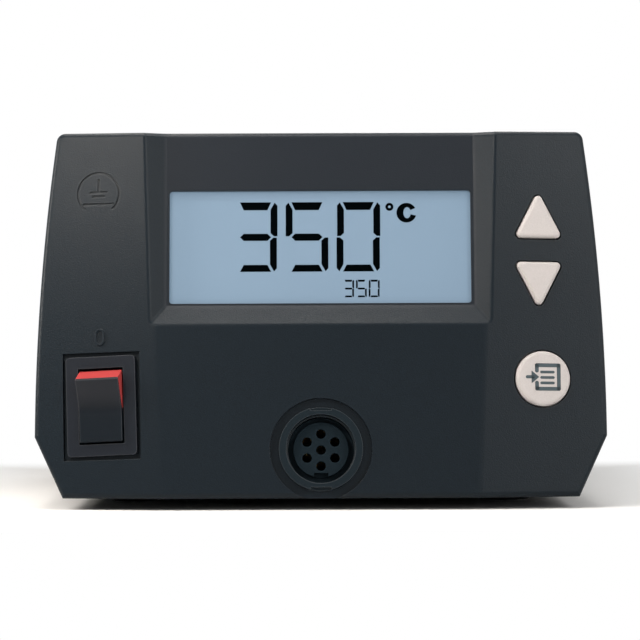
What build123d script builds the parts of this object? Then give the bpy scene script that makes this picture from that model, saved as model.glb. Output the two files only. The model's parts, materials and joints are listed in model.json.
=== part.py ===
from build123d import *
import os
from math import atan, cos, degrees, radians, sin, tan

os.makedirs("parts", exist_ok=True)

# ---------------------------------------------------------------------------
# Driving dimensions (millimetres and degrees)
# The unit faces -Y and stands on Z = 0. The origin is at the middle of its
# footprint on the surface that it stands on.
# ---------------------------------------------------------------------------

# Housing
width = 125.0               # across the widest line of the sides
depth = 150.0               # from the tool socket's ring to the rear rim
body_height = 80.0          # housing without its feet
foot_height = 2.5           # how far the feet stand out
lean = 8.0                  # the front leans back by this angle
widest_height = 13.2        # height of the widest line above the housing's underside
side_lean_in = 4.55         # each side draws in by this from the widest line to the top
side_chamfer_in = 6.3       # and by this to the underside
corner_radius = 2.0         # long edges of the housing
rim_radius = 1.2            # edge round the fascia's front
wall = 2.5                  # housing walls
front_wall = 2.7            # fascia behind its facets
pocket_wall = 2.1           # fascia behind its display pocket
seam = 0.3                  # open line between two housing shells
skirt_line = 23.0           # depth of the fascia from its lowest front edge to its seam
lip_length = 3.0            # tongue of the fascia inside the covers
lip_thickness = 1.4

# Facets of the front
wing_turn = 8.5             # the side facets turn outward by this angle
wing_top = 19.55            # width of a side facet at the top edge
wing_bottom = 21.9          # and at the lower edge
crease_radius = 8.0

# Display pocket, open to the top edge
pocket_height = 42.75       # from the top edge to its mouth's lower edge, along the fascia
pocket_low_in = 1.2         # its mouth is narrower by this at each lower corner
side_bevel = 4.7            # width of its side bevels
low_bevel = 4.6             # and of its lower bevel
pocket_depth_foot = 2.5
pocket_depth_top = 3.2
pocket_corner = 1.2         # its lower corners
pocket_mouth_round = 1.3    # soft edge of its mouth
pocket_floor_round = 0.4    # soft edge of its floor

# Display
window_drop = 12.55         # from the top edge to the window in the pocket's floor
window_side_gap = 0.7       # from the window to the side bevels
window_low_gap = 0.4        # and to the lower bevel
window_radius = 0.7
window_rim = 1.0            # thickness of the floor round the window
glass_margin = 3.0          # glass hidden behind each edge of the window
glass_thickness = 2.2
backlight_thickness = 2.4
frame_wall = 1.0            # wall of the display's frame
board_thickness = 1.6
board_standoff = 2.0        # display board behind the backlight
board_margin = 2.0          # display board past each side of the window
board_screw_inset = 5.0     # from the board's sides
board_screw_rise = 2.5      # from its upper and lower edges
board_to_socket = 5.0       # display board above the tool socket's insert
board_to_cover = 0.9        # display board below the inside of the top
chip_size = 10.0
chip_thickness = 1.5
chip_drop = 8.0             # below the window's middle

# Buttons on the right facet
arrow_width = 10.8          # before its corners are rounded
arrow_height = 10.4
arrow_radius = 0.9
up_side = 14.7              # the up button's middle, in from the widest line
up_drop = 23.65             # its base line below the top edge, along the fascia
down_side = 14.75
down_drop = 29.0            # the down button's upper line below the top edge
menu_side = 14.15
menu_drop = 54.65
menu_radius = 6.0
button_gap = 0.35           # round each button
button_proud = 1.1
button_edge = 0.8           # soft edge of the buttons
button_flange = 1.1         # how far the flange reaches behind the wall
flange_thickness = 1.0
button_rest_gap = 0.3       # between the flange and the wall
button_travel = 0.8
stem_radius = 2.2
stem_length = 2.5
plunger_radius = 1.75
plunger_length = 1.7
plunger_grip = 0.7          # length of the plunger inside its switch at rest
tact_size = 6.0
tact_height = 3.5
tact_gap = 0.3              # between the plunger and its hole
button_board_width = 14.0
button_board_in = 0.5       # its middle line, in from the menu button's middle
button_screw_end = 3.3      # from the board's ends
button_screw_gap = 3.2      # upper screw above the up button's tip

# Rocker switch on the left facet
switch_side = 14.8          # its middle, in from the widest line
switch_rise = 20.5          # its middle above the lower edge, along the fascia
switch_turn = 1.8           # turned against the clock, seen from the front
recess_turn = 1.0           # the recess round it follows the side's slope less
bezel_width = 15.4
bezel_height = 21.75
bezel_radius = 0.9
bezel_thickness = 1.6
recess_gap = 0.85           # between the bezel and its recess
recess_depth = 1.2
switch_width = 13.0         # body behind the bezel
switch_height = 19.2
switch_depth = 18.0
switch_fit = 0.15
rocker_hole_width = 10.0
rocker_hole_height = 16.6
rocker_gap = 0.3
rocker_swing = 28.0         # from on to off
rocker_face_half = 6.9      # half-length of the rocker's face
rocker_proud = 0.9          # the pressed half stands above the bezel by this
pivot_depth = 2.4           # below the bezel's face
pivot_radius = 1.2
pivot_fit = 0.05            # running clearance on the radius
pivot_pin_grip = 1.0        # each pin's length inside the switch's body
rocker_face_thickness = 0.7
rocker_ridge = 4.0          # radius of the soft ridge between its two halves
rocker_edge = 0.35          # soft edge of its ends
rocker_skirt = 2.0          # rocker below its pivot
rocker_foot_in = 0.6        # its ends draw in by this below the pivot
terminal_length = 7.0
terminal_width = 4.8
terminal_thickness = 0.8
terminal_across = 3.5       # from the switch's middle
terminal_up = 5.0

# Tool socket in the middle of the lower edge
socket_height = 10.8        # along the fascia
spot_radius = 11.1
spot_depth = 1.2
ring_radius = 9.1
ring_proud = 0.8
notch_width = 4.6
notch_depth = 0.8
mouth_radius = 7.5
seat_step = 0.3             # the insert's seat is narrower than the mouth
mouth_depth = 3.0
barrel_radius = 8.5
barrel_length = 5.4         # behind the facet
barrel_fit = 0.2
insert_radius = 6.0
insert_drop = 3.2           # from the ring's face to the insert's face
insert_length = 9.0
insert_flange = 1.2         # thickness of the flange that centres it in its seat
contact_circle = 3.5
contact_count = 6
entry_radius = 1.05         # holes in the insert's face, as wide as the contacts' bores
contact_wall = 0.3
contact_sink = 2.5          # contacts behind the insert's face
contact_tail = 4.0          # and out of its back
key_width = 3.1
key_depth = 1.0
key_length = 1.5
groove_depth = 0.6          # groove round the barrel for the clip
clip_thickness = 0.9
clip_half_width = 11.0
clip_above = 3.0            # its bridge above the barrel
clip_foot_rise = 0.9        # its legs end above the barrel's lowest line

# Feet
foot_radius = 6.0
foot_recess = 1.0
foot_in = 14.2              # feet in from the underside's long edges
foot_from_front = 38.4
foot_from_rear = 25.0
foot_fit = 0.1

# Case screws
post_radius = 4.0
post_in = 10.2              # posts in from the underside's long edges
post_from_front = 54.4
post_gap = 1.0              # rear posts in front of the rear panel's rib
post_height = 14.0          # top of the tray's posts above the underside
screw_radius = 1.5
screw_fit = 0.2
screw_head_radius = 2.8
screw_head_height = 2.0
screw_length = 16.0
screw_slot = (3.2, 0.8)     # length and width of its slot
screw_slot_depth = 1.0
head_gap = 0.5              # tray between a screw's head and the post's counterbore

# Rear panel
panel_recess = 5.0          # behind the rear rim
panel_thickness = 2.5
panel_gap = 0.15
rib_thickness = 1.8
rib_height = 1.8

# Mains inlet with fuse drawer
inlet_x = -24.0
inlet_z = 30.0
flange_width = 50.0
flange_height = 33.0
flange_radius = 3.0
inlet_flange = 2.5
inlet_body_width = 27.5
inlet_body_height = 31.0
inlet_body_depth = 24.0
inlet_opening_width = 24.3
inlet_opening_height = 16.3
inlet_opening_depth = 17.0
inlet_opening_rise = 4.6    # its middle above the flange's middle
inlet_corner = 4.5
pin_pitch = 7.0
pin_drop = 1.5              # the two outer pins below the opening's middle
pin_rise = 4.0              # the earth pin above the other two
pin_width = 4.0
pin_thickness = 2.0
pin_length = 12.0
inlet_screw_pitch = 40.0
drawer_width = 21.4
drawer_height = 6.4
drawer_length = 20.0
drawer_gap = 0.3
drawer_drop = 10.2          # its middle below the flange's middle
drawer_floor = 0.7
drawer_cap = 1.2            # thickness of its cap
drawer_cap_size = (24.0, 8.0)
drawer_cap_radius = 0.8
fuse_radius = 2.5
fuse_length = 20.0
fuse_from_back = (12.5, 5.0)    # the fuse in use and the spare one
fuse_fit = 0.1
tab_length = 7.0

# Earth bonding socket
bond_x = 34.0
bond_z = 20.0
bond_bore = 2.0
bond_barrel = 4.0
bond_flange = 6.5
bond_flange_thickness = 2.0
bond_length = 14.0
bond_bore_depth = 12.0
bond_nut_radius = 6.0
bond_nut_thickness = 2.5

# Transformer
core_width = 66.0
core_height = 55.0
core_stack = 30.0
core_leg = 11.0             # outer legs and yokes; the middle leg is twice as wide
core_from_rear = 64.0
coil_overhang = 9.0
coil_gap = 0.4
cheek = 1.2
bracket_thickness = 1.5
bracket_foot = 9.0
bracket_width = 20.0
transformer_screw_radius = 2.0

# Power board
power_side_gap = 4.0        # between the board and the case posts
power_depth = 28.0
power_from_core = 6.0       # between the board and the transformer's core
power_corner_inset = 4.0    # its screws from its edges
power_height = 6.0          # above the tray's floor
power_post_radius = 3.0
terminal_x = -10.0          # screw terminals of the secondary, in the front row
terminal_size = (16.0, 8.0)
terminal_height = 10.0
connector_x = 14.0          # socket of the tool's loom
connector_size = (12.0, 6.0)
connector_height = 8.0
connector_in = 1.0          # further from the board's front edge than its own depth
sink_size = (22.0, 9.0)
sink_in = 1.5               # behind the board's middle
sink_height = 18.0
sink_base = 3.0
fin_count = 5
fin_thickness = 1.6
triac_size = (10.0, 4.5)
triac_height = 12.0
triac_leg = (0.9, 0.6)
triac_leg_length = 3.0
triac_leg_pitch = 2.54
store_radius = 5.0          # the large capacitor
store_height = 10.0
filter_radius = 3.5         # the two small ones
filter_height = 9.0
filter_gap = 1.0            # from the terminals
capacitor_gap = 1.5         # from the screws' heads and from each other
capacitor_in = 5.0          # their row behind the board's middle

# ---------------------------------------------------------------------------
# Shared places
# ---------------------------------------------------------------------------

underside = foot_height
tray_floor = underside + wall
half_width = width / 2
lean_sin = sin(radians(lean))
lean_cos = cos(radians(lean))
fascia_height = body_height / lean_cos
rear = depth / 2
top_half_width = half_width - side_lean_in
bottom_half_width = half_width - side_chamfer_in
# The ring of the tool socket is the foremost point of the unit.
front = -rear + ring_proud * lean_cos - (socket_height - ring_radius) * lean_sin
seam_y = front + skirt_line
parting = underside + widest_height

facet = Plane(origin=(0, front, underside), x_dir=(1, 0, 0), z_dir=(0, -lean_cos, lean_sin))
crease_top = top_half_width - wing_top
crease_bottom = bottom_half_width - wing_bottom
crease_slope = (crease_top - crease_bottom) / fascia_height

pocket_edge_top = crease_top + 0.1
pocket_edge_low = pocket_edge_top - pocket_low_in
pocket_floor_half = pocket_edge_top - side_bevel
pocket_low = fascia_height - pocket_height
pocket_foot = pocket_low + low_bevel
window_width = 2 * (pocket_floor_half - window_side_gap)
window_low = pocket_foot + window_low_gap
window_height = fascia_height - window_drop - window_low

switch_centre = (switch_side - half_width, switch_rise)
up_base = (half_width - up_side, fascia_height - up_drop)
down_base = (half_width - down_side, fascia_height - down_drop)
menu_centre = (half_width - menu_side, fascia_height - menu_drop)


def turned(plane, angle):
    """The plane turned on its own normal, against the clock as seen from the front."""
    x_dir = plane.x_dir * cos(radians(angle)) + plane.y_dir * sin(radians(angle))
    return Plane(origin=plane.origin, x_dir=x_dir, z_dir=plane.z_dir)


def turned_facet(u, v, side):
    """The plane of a side facet at the place u across and v up the fascia; side is 1 right, -1 left."""
    across = Vector(1, -crease_slope, 0).normalized()
    away = (u * side - crease_bottom) * across.X + v * across.Y
    turned_out = Vector(side * across.X, across.Y, 0) * sin(radians(wing_turn))
    normal = turned_out + Vector(0, 0, cos(radians(wing_turn)))
    origin = facet.from_local_coords(Vector(u, v, -tan(radians(wing_turn)) * away))
    z_dir = facet.from_local_coords(normal) - facet.origin
    x_dir = Vector(1, 0, 0) - z_dir * z_dir.X
    return Plane(origin=origin, x_dir=x_dir, z_dir=z_dir)


# ---------------------------------------------------------------------------
# Shape helpers
# ---------------------------------------------------------------------------

huge = 4 * depth


def block(plane, size, low, high, at=(0, 0), radius=0.0):
    """A block on a plane, from height low to height high, with its middle at a place on that plane."""
    face = RectangleRounded(*size, radius) if radius else Rectangle(*size)
    return extrude(plane.offset(low) * Pos(*at) * face, amount=high - low)


def bar(plane, radius, low, high, at=(0, 0)):
    """A round bar standing on a plane."""
    return extrude(plane.offset(low) * Pos(*at) * Circle(radius), amount=high - low)


def ring(plane, outer, inner, low, high, at=(0, 0)):
    """A round tube standing on a plane."""
    return bar(plane, outer, low, high, at) - bar(plane, inner, low, high, at)


def beyond(plane):
    """Everything on the side of a plane that its normal points to."""
    return plane * Box(huge, huge, huge, align=(Align.CENTER, Align.CENTER, Align.MIN))


def plane_through(a, b, c):
    """The plane through three places, with its normal by the right-hand rule."""
    return Plane(origin=a, x_dir=b - a, z_dir=(b - a).cross(c - a))


def export(name, shape):
    """Write one piece, or one group of like pieces, to its own file."""
    export_step(shape, f"parts/{name}.step")


def on_fascia(u, v, n=0.0):
    """A place u across, v up and n in front of the middle facet."""
    return facet.from_local_coords(Vector(u, v, n))


# ---------------------------------------------------------------------------
# Housing
# ---------------------------------------------------------------------------

def outline(inset=0.0):
    """Cross-section of the housing: flat top and bottom, sides of one long arc, chamfered lower corners."""
    lines = []
    for side in (-1, 1):
        low = (side * bottom_half_width, 0)
        widest = (side * half_width, widest_height)
        high = (side * top_half_width, body_height)
        lines += [Line(low, widest), TangentArc(widest, high, tangent=(0, 1))]
    lines.append(Line((-bottom_half_width, 0), (bottom_half_width, 0)))
    lines.append(Line((-top_half_width, body_height), (top_half_width, body_height)))
    face = make_face(lines)
    if inset:
        face = offset(face, -inset, kind=Kind.INTERSECTION)
    return face


def prism(inset, y_low, y_high, radius=0.0):
    """The cross-section run along Y from y_low to y_high."""
    face = outline(inset)
    if radius:
        face = fillet(face.vertices().group_by(Axis.Y)[-1], radius)
    plane = Plane(origin=(0, y_high, underside), x_dir=(1, 0, 0), z_dir=(0, -1, 0))
    return extrude(plane * face, amount=y_high - y_low)


wing_edge = 0.3             # how near an edge lies to a named place to belong to it


def facet_cut(solid, inset=0.0):
    """Cut a solid along the three facets of the front."""
    for plane in (facet, turned_facet(crease_bottom, 0, 1), turned_facet(-crease_bottom, 0, -1)):
        solid -= beyond(plane.offset(-inset))
    return solid


def is_crease(edge):
    """True for the two edges between the middle facet and the side facets."""
    middle = edge @ 0.5
    expected = (crease_top + crease_bottom) / 2
    return abs(abs(middle.X) - expected) < 1 and abs((edge @ 0).Z - (edge @ 1).Z) > body_height / 2


def front_rim(solid):
    """The edges round the front, where the facets meet the sides, the top and the underside."""
    facets = [f for f in solid.faces().filter_by(GeomType.PLANE) if f.normal_at().Y < -0.9]
    rim = [e for f in facets for e in f.edges() if not is_crease(e)]
    return [e for e in rim if e.bounding_box().size.X > 1 or e.bounding_box().size.Z > body_height / 3]


def make_pocket(grow=0.0):
    """The space of the display pocket, open to the front and the top, and the plane of its floor."""
    floor_top = on_fascia(0, fascia_height, -pocket_depth_top)
    floor_foot = on_fascia(0, pocket_foot, -pocket_depth_foot)
    floor = plane_through(floor_foot, floor_foot + Vector(1, 0, 0), floor_top)
    sides = []
    for side in (-1, 1):
        mouth_top = on_fascia(side * pocket_edge_top, fascia_height)
        mouth_low = on_fascia(side * pocket_edge_low, pocket_low)
        floor_edge = floor_top + Vector(side * pocket_floor_half, 0, 0)
        sides.append(plane_through(mouth_top, mouth_low, floor_edge))
    mouth = on_fascia(0, pocket_low)
    low = plane_through(mouth, mouth + Vector(1, 0, 0), floor_foot)
    space = facet * Box(width * 2, fascia_height * 4, width)
    inside = on_fascia(0, fascia_height * 0.75, 1)
    for plane in (floor, low, *sides):
        outward = plane.z_dir if (inside - plane.origin).dot(plane.z_dir) < 0 else -plane.z_dir
        space -= beyond(Plane(origin=plane.origin, x_dir=plane.x_dir, z_dir=outward).offset(grow))
    return space, floor


pocket, pocket_floor = make_pocket()
pocket_backing, _ = make_pocket(pocket_wall)

body = facet_cut(prism(0, front - wall, rear, corner_radius))
body = fillet([e for e in body.edges() if is_crease(e)], crease_radius)
body = fillet(front_rim(body), rim_radius)
cavity = facet_cut(prism(wall, front - wall, rear + wall), front_wall) - pocket_backing


def pocket_edges(solid, low_n, high_n, shorter_than=huge, longer_than=0.0):
    """Edges of the display pocket whose middles lie between two heights over the middle facet."""
    found = []
    for edge in solid.edges():
        middle = facet.to_local_coords(edge @ 0.5)
        across = abs(middle.X) < pocket_edge_top + wing_edge
        up = pocket_low - wing_edge < middle.Y < fascia_height - rim_radius
        if across and up and low_n < middle.Z < high_n and longer_than < edge.length < shorter_than:
            found.append(edge)
    return found


def round_pocket(solid):
    """Soften the display pocket: its lower corners, then its floor's edge, then its mouth."""
    slant = 2 * (pocket_foot - pocket_low)
    solid = fillet(pocket_edges(solid, -pocket_depth_foot, -wing_edge, slant, wall), pocket_corner)
    solid = fillet(pocket_edges(solid, -pocket_depth_top - wing_edge, -pocket_depth_foot + wing_edge),
                   pocket_floor_round)
    return fillet(pocket_edges(solid, -0.6, wing_edge), pocket_mouth_round)


shell = round_pocket(body - pocket) - cavity

ground = Plane.XY
seam_front = Plane(origin=(0, seam_y - seam / 2, 0), x_dir=(1, 0, 0), z_dir=(0, 1, 0))
seam_back = Plane(origin=(0, seam_y + seam / 2, 0), x_dir=(1, 0, 0), z_dir=(0, -1, 0))
tray_edge = Plane.XY.offset(parting - seam / 2)
cover_edge = Plane(origin=(0, 0, parting + seam / 2), x_dir=(1, 0, 0), z_dir=(0, 0, -1))


def band(inset_out, inset_in, y_low, y_high):
    """A thin band that follows the housing's cross-section, between two insets."""
    return prism(inset_out, y_low, y_high) - prism(inset_in, y_low - wall, y_high + wall)


# ---------------------------------------------------------------------------
# Places on the front
# ---------------------------------------------------------------------------

def floor_depth(v):
    """Depth of the display pocket's floor at the height v along the fascia."""
    share = (v - pocket_foot) / (fascia_height - pocket_foot)
    return pocket_depth_foot + share * (pocket_depth_top - pocket_depth_foot)


window_middle = window_low + window_height / 2
floor_normal = pocket_floor.z_dir if pocket_floor.z_dir.Y < 0 else -pocket_floor.z_dir
display = Plane(
    origin=on_fascia(0, window_middle, -floor_depth(window_middle)), x_dir=(1, 0, 0), z_dir=floor_normal
)
recess_place = turned(turned_facet(*switch_centre, -1), recess_turn)
switch_place = turned(turned_facet(*switch_centre, -1), switch_turn)
menu_place = turned_facet(*menu_centre, 1)
up_place = turned_facet(*up_base, 1)
down_place = turned_facet(*down_base, 1)
socket_place = Plane(origin=on_fascia(0, socket_height), x_dir=facet.x_dir, z_dir=facet.z_dir)

# Heights along each place's own axis, measured from the fascia's surface
sheet_gap = 0.05            # between flat pieces laid on each other
glass_front = -window_rim - sheet_gap
glass_back = glass_front - glass_thickness
light_back = glass_back - sheet_gap - backlight_thickness
board_front = light_back - board_standoff
glass_size = (window_width + 2 * glass_margin, window_height + 2 * glass_margin)
frame_size = (glass_size[0] + 2 * frame_wall, glass_size[1] + 2 * frame_wall)

flange_front = -front_wall - button_rest_gap
flange_back = flange_front - flange_thickness
stem_back = flange_back - stem_length
plunger_back = stem_back - plunger_length
tact_front = plunger_back + plunger_grip
button_board_front = tact_front - tact_height

# ---------------------------------------------------------------------------
# Buttons
# ---------------------------------------------------------------------------

def arrow(direction):
    """A triangle with soft corners; its base lies through the origin, its tip points up (1) or down (-1)."""
    half = direction * arrow_width / 2
    face = Polygon((-half, 0), (half, 0), (0, direction * arrow_height), align=None)
    return fillet(face.vertices(), arrow_radius)


class Key:
    """A press button: its outline, its place on the facet and where its stem stands."""

    def __init__(self, name, place, face, stem_at):
        self.name = name
        self.place = place
        self.face = face
        self.stem_at = stem_at

    def cap(self):
        """The cap with its flange behind the wall and its stem."""
        cap = extrude(self.place.offset(flange_front) * self.face, amount=button_proud - flange_front)
        top = cap.faces().sort_by(lambda side: side.center().dot(self.place.z_dir))[-1]
        cap = fillet(top.edges(), button_edge)
        flange = offset(self.face, button_gap + button_flange)
        cap += extrude(self.place.offset(flange_back) * flange, amount=flange_thickness)
        return cap + bar(self.place, stem_radius, stem_back, flange_back, self.stem_at)

    def opening(self):
        """The hole in the facet that the cap moves in."""
        face = offset(self.face, button_gap)
        return extrude(self.place.offset(-wall * 2) * face, amount=wall * 3)

    def plunger(self):
        """The switch's own plunger, which the stem rests on."""
        return bar(self.place, plunger_radius, plunger_back, stem_back, self.stem_at)

    def tact(self):
        """The tactile switch's body with the hole for its plunger."""
        base = block(self.place, (tact_size, tact_size), button_board_front, tact_front, self.stem_at)
        depth_needed = plunger_grip + button_travel + tact_gap
        hole = bar(self.place, plunger_radius + tact_gap, tact_front - depth_needed, tact_front, self.stem_at)
        return base - hole


keys = [
    Key("up", up_place, arrow(1), (0, arrow_height / 3)),
    Key("down", down_place, arrow(-1), (0, -arrow_height / 3)),
    Key("menu", menu_place, Circle(menu_radius), (0, 0)),
]
for key in keys:
    export(f"{key.name}_button", key.cap())
    export(f"{key.name}_plunger", key.plunger())
    export(f"{key.name}_switch", key.tact())

# ---------------------------------------------------------------------------
# Screws
# ---------------------------------------------------------------------------

small_screw_radius = 1.2
small_screw_head = 2.2
small_screw_head_height = 1.5
small_screw_length = 4.4    # below the board
pilot_gap = 0.05
boss_radius = 2.5


def board_screw(plane, back, at):
    """A small screw put in from behind a board; back is the height of the board's rear face."""
    head = bar(plane, small_screw_head, back - small_screw_head_height, back, at)
    shank = bar(plane, small_screw_radius, back, back + board_thickness + small_screw_length, at)
    slot = block(plane, (small_screw_head, 0.6), back - small_screw_head_height, back - 0.7, at)
    return head + shank - slot


def pilot(plane, low, high, at):
    """The hole that a small screw cuts its thread in."""
    return bar(plane, small_screw_radius + pilot_gap, low, high, at)


# ---------------------------------------------------------------------------
# Display
# ---------------------------------------------------------------------------

board_low = socket_height + insert_radius + board_to_socket - window_middle
board_high = fascia_height - wall - board_to_cover - window_middle
board_half = window_width / 2 + board_margin
board_screws_at = [
    (side * (board_half - board_screw_inset), y)
    for side in (-1, 1)
    for y in (board_high - board_screw_rise, board_low + board_screw_rise)
]

glass = block(display, glass_size, glass_back, glass_front)
backlight = block(display, glass_size, light_back, glass_back - sheet_gap)
frame_space = block(display, (glass_size[0] + 2 * sheet_gap, glass_size[1] + 2 * sheet_gap), board_front - 1, 0)
frame = block(display, frame_size, board_front, glass_front) - frame_space
display_board = block(
    display, (2 * board_half, board_high - board_low), board_front - board_thickness, board_front,
    (0, (board_high + board_low) / 2), 1.0,
)
for at in board_screws_at:
    display_board -= bar(display, small_screw_radius + screw_fit, board_front - wall, board_front + 1, at)
board_rear = board_front - board_thickness
chip = block(display, (chip_size, chip_size), board_rear - chip_thickness, board_rear, (0, -chip_drop))
display_screws = [board_screw(display, board_rear, at) for at in board_screws_at]
export("display_glass", glass)
export("backlight_panel", backlight)
export("display_frame", frame)
export("display_board", display_board)
export("microcontroller", chip)
export("display_board_screws", Compound(children=display_screws))

# ---------------------------------------------------------------------------
# Button board
# ---------------------------------------------------------------------------

upper_screw = up_base[1] + arrow_height + button_screw_gap
lower_screw = (down_base[1] - arrow_height + menu_centre[1] + menu_radius) / 2
button_board_high = upper_screw + button_screw_end
button_board_low = menu_centre[1] - tact_size
button_board_middle = (button_board_low + button_board_high) / 2
button_plane = turned_facet(menu_centre[0] - button_board_in, button_board_middle, 1)
button_screws_at = [(0, v - button_board_middle) for v in (upper_screw, lower_screw)]
button_board = block(
    button_plane, (button_board_width, button_board_high - button_board_low),
    button_board_front - board_thickness, button_board_front, (0, 0), 1.0,
)
for at in button_screws_at:
    button_board -= bar(
        button_plane, small_screw_radius + screw_fit, button_board_front - wall, button_board_front + 1, at
    )
button_screws = [
    board_screw(button_plane, button_board_front - board_thickness, at) for at in button_screws_at
]
export("button_board", button_board)
export("button_board_screws", Compound(children=button_screws))

# ---------------------------------------------------------------------------
# Rocker switch
# ---------------------------------------------------------------------------

bezel_face = bezel_thickness - recess_depth
switch_back = -recess_depth - switch_depth
pivot = switch_place.from_local_coords(Vector(0, 0, bezel_face - pivot_depth))
section = Plane(origin=pivot, x_dir=switch_place.y_dir, z_dir=switch_place.x_dir)
half_swing = radians(rocker_swing / 2)
tip_way = switch_place.y_dir * cos(half_swing) + switch_place.z_dir * sin(half_swing)
rocker_on = Plane(origin=pivot, x_dir=tip_way, z_dir=switch_place.x_dir)
rocker_width = rocker_hole_width - 2 * rocker_gap
rocker_middle = (rocker_proud + pivot_depth) / cos(half_swing)
rocker_tip = rocker_middle + rocker_face_half * tan(half_swing)
rocker_waist = rocker_hole_height / 2 - rocker_gap
rocker_foot = rocker_waist - rocker_foot_in


def rocker_outline(*corners):
    """A closed outline, symmetric about the rocker's middle, run across its width.

    Each corner is its place along the rocker, its height above the pivot and its radius.
    """
    right = [(x, y) for x, y, _ in corners]
    left = [(-x, y) for x, y in reversed(right)]
    face = Polygon(*reversed(list(dict.fromkeys([*right, *left]))), align=None)
    for x, y, radius in corners:
        if radius:
            sharp = [v for v in face.vertices() if abs(abs(v.X) - x) < wing_edge and abs(v.Y - y) < wing_edge]
            face = fillet(sharp, radius)
    return extrude(rocker_on.offset(-rocker_width / 2) * face, amount=rocker_width)


tip_slope = (rocker_waist - rocker_face_half) / rocker_tip
face_low = rocker_tip - rocker_face_thickness
rocker = rocker_outline(
    (0, rocker_middle, rocker_ridge),
    (rocker_face_half, rocker_tip, rocker_edge),
    (rocker_waist, 0, 0),
    (rocker_foot, -rocker_skirt, 0),
)
rocker_face = rocker_outline(
    (0, rocker_middle, rocker_ridge),
    (rocker_face_half, rocker_tip, rocker_edge),
    (rocker_face_half + tip_slope * rocker_face_thickness, face_low, 0),
    (0, rocker_middle - rocker_face_thickness, rocker_ridge - rocker_face_thickness),
)
pivot_pin_half = rocker_hole_width / 2 + pivot_pin_grip
pivot_pin = bar(rocker_on, pivot_radius, -pivot_pin_half, pivot_pin_half)
# The black face runs down over the whole lower half, so that colour shows only when the switch is on.
upper_half = beyond(Plane(origin=pivot, x_dir=switch_place.x_dir, z_dir=tip_way))
lower_end = rocker - rocker_face - upper_half - pivot_pin
rocker_core = rocker - rocker_face - lower_end + pivot_pin
rocker_face += lower_end
rocker_reach = rocker_foot * sin(half_swing) + rocker_skirt * cos(half_swing) + pivot_depth - bezel_face

switch_body = block(
    switch_place, (bezel_width, bezel_height), -recess_depth, bezel_face, (0, 0), bezel_radius
)
switch_body += block(switch_place, (switch_width, switch_height), switch_back, -recess_depth)
switch_body -= block(
    switch_place, (rocker_hole_width, rocker_hole_height), -rocker_reach - 2 * rocker_gap, wall
)
switch_body -= bar(section, pivot_radius + pivot_fit, -switch_width, switch_width)
terminals = [
    block(switch_place, (terminal_thickness, terminal_width), switch_back - terminal_length, switch_back, at)
    for at in [(x * terminal_across, y * terminal_up) for x in (-1, 1) for y in (-1, 1)]
]
export("rocker_face", rocker_face)
export("rocker_core", rocker_core)
export("switch_body", switch_body)
export("switch_terminals", Compound(children=terminals))

# ---------------------------------------------------------------------------
# Tool socket
# ---------------------------------------------------------------------------

insert_face = ring_proud - insert_drop
seat_radius = mouth_radius - seat_step
seat_back = -barrel_length
groove_radius = barrel_radius - groove_depth
clip_front = -front_wall
clip_back = clip_front - clip_thickness - 2 * sheet_gap

socket_shell = bar(socket_place, ring_radius, -spot_depth, ring_proud)
socket_shell += bar(socket_place, barrel_radius, seat_back, -spot_depth)
socket_shell -= bar(socket_place, mouth_radius, ring_proud - mouth_depth, ring_proud + wall)
socket_shell -= bar(socket_place, seat_radius, seat_back - wall, ring_proud)
socket_shell -= ring(socket_place, barrel_radius + wall, groove_radius, clip_back, clip_front)
for side in (-1, 1):
    socket_shell -= block(
        socket_place, (notch_width, 2 * notch_depth), -spot_depth / 2, wall, (0, side * ring_radius)
    )

clip_slot = groove_radius + sheet_gap
clip_low = -barrel_radius + clip_foot_rise
clip_high = barrel_radius + clip_above
clip = block(
    socket_place, (2 * clip_half_width, clip_high - clip_low), clip_back + sheet_gap, clip_front - sheet_gap,
    (0, (clip_high + clip_low) / 2), 0.5,
)
clip -= bar(socket_place, clip_slot, clip_back - 1, clip_front + 1)
clip -= block(
    socket_place, (2 * clip_slot, barrel_radius * 2), clip_back - 1, clip_front + 1, (0, -barrel_radius)
)

contact_places = [(0.0, 0.0)] + [
    (
        contact_circle * cos(radians(90 + 360 / contact_count * i)),
        contact_circle * sin(radians(90 + 360 / contact_count * i)),
    )
    for i in range(contact_count)
]
insert_back = insert_face - insert_length
socket_insert = bar(socket_place, insert_radius, insert_back, insert_face)
socket_insert += bar(socket_place, seat_radius - sheet_gap, seat_back, seat_back + insert_flange)
socket_insert -= block(
    socket_place, (key_width, 2 * key_depth), insert_face - key_length, insert_face + 1, (0, -insert_radius)
)
contact_radius = entry_radius + contact_wall
contact_back = insert_back - contact_tail
contact_front = insert_face - contact_sink
for at in contact_places:
    socket_insert -= bar(socket_place, entry_radius, contact_front, insert_face + wall, at)
    socket_insert -= bar(
        socket_place, contact_radius + sheet_gap, insert_back - wall, contact_front + sheet_gap, at)
contacts = [
    ring(socket_place, contact_radius, entry_radius, contact_back, contact_front, at)
    for at in contact_places
]
export("socket_shell", socket_shell)
export("socket_insert", socket_insert)
export("socket_contacts", Compound(children=contacts))
export("socket_clip", clip)

# ---------------------------------------------------------------------------
# Fascia
# ---------------------------------------------------------------------------

fascia = shell - beyond(seam_front)

# Tongue that the covers close round
lip_in = wall + panel_gap
fascia += band(wall - 0.5, lip_in + lip_thickness, seam_y - lip_length, seam_y - seam / 2)
fascia += band(lip_in, lip_in + lip_thickness, seam_y - lip_length, seam_y + lip_length)

# Display window, thinned behind so that the glass lies close to the front
window = block(display, (window_width, window_height), -wall * 2, wall, (0, 0), window_radius)
window_relief = block(
    display, (frame_size[0] + seam, frame_size[1] + seam), board_front - wall, -window_rim
)
fascia = fascia - window_relief - window

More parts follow.
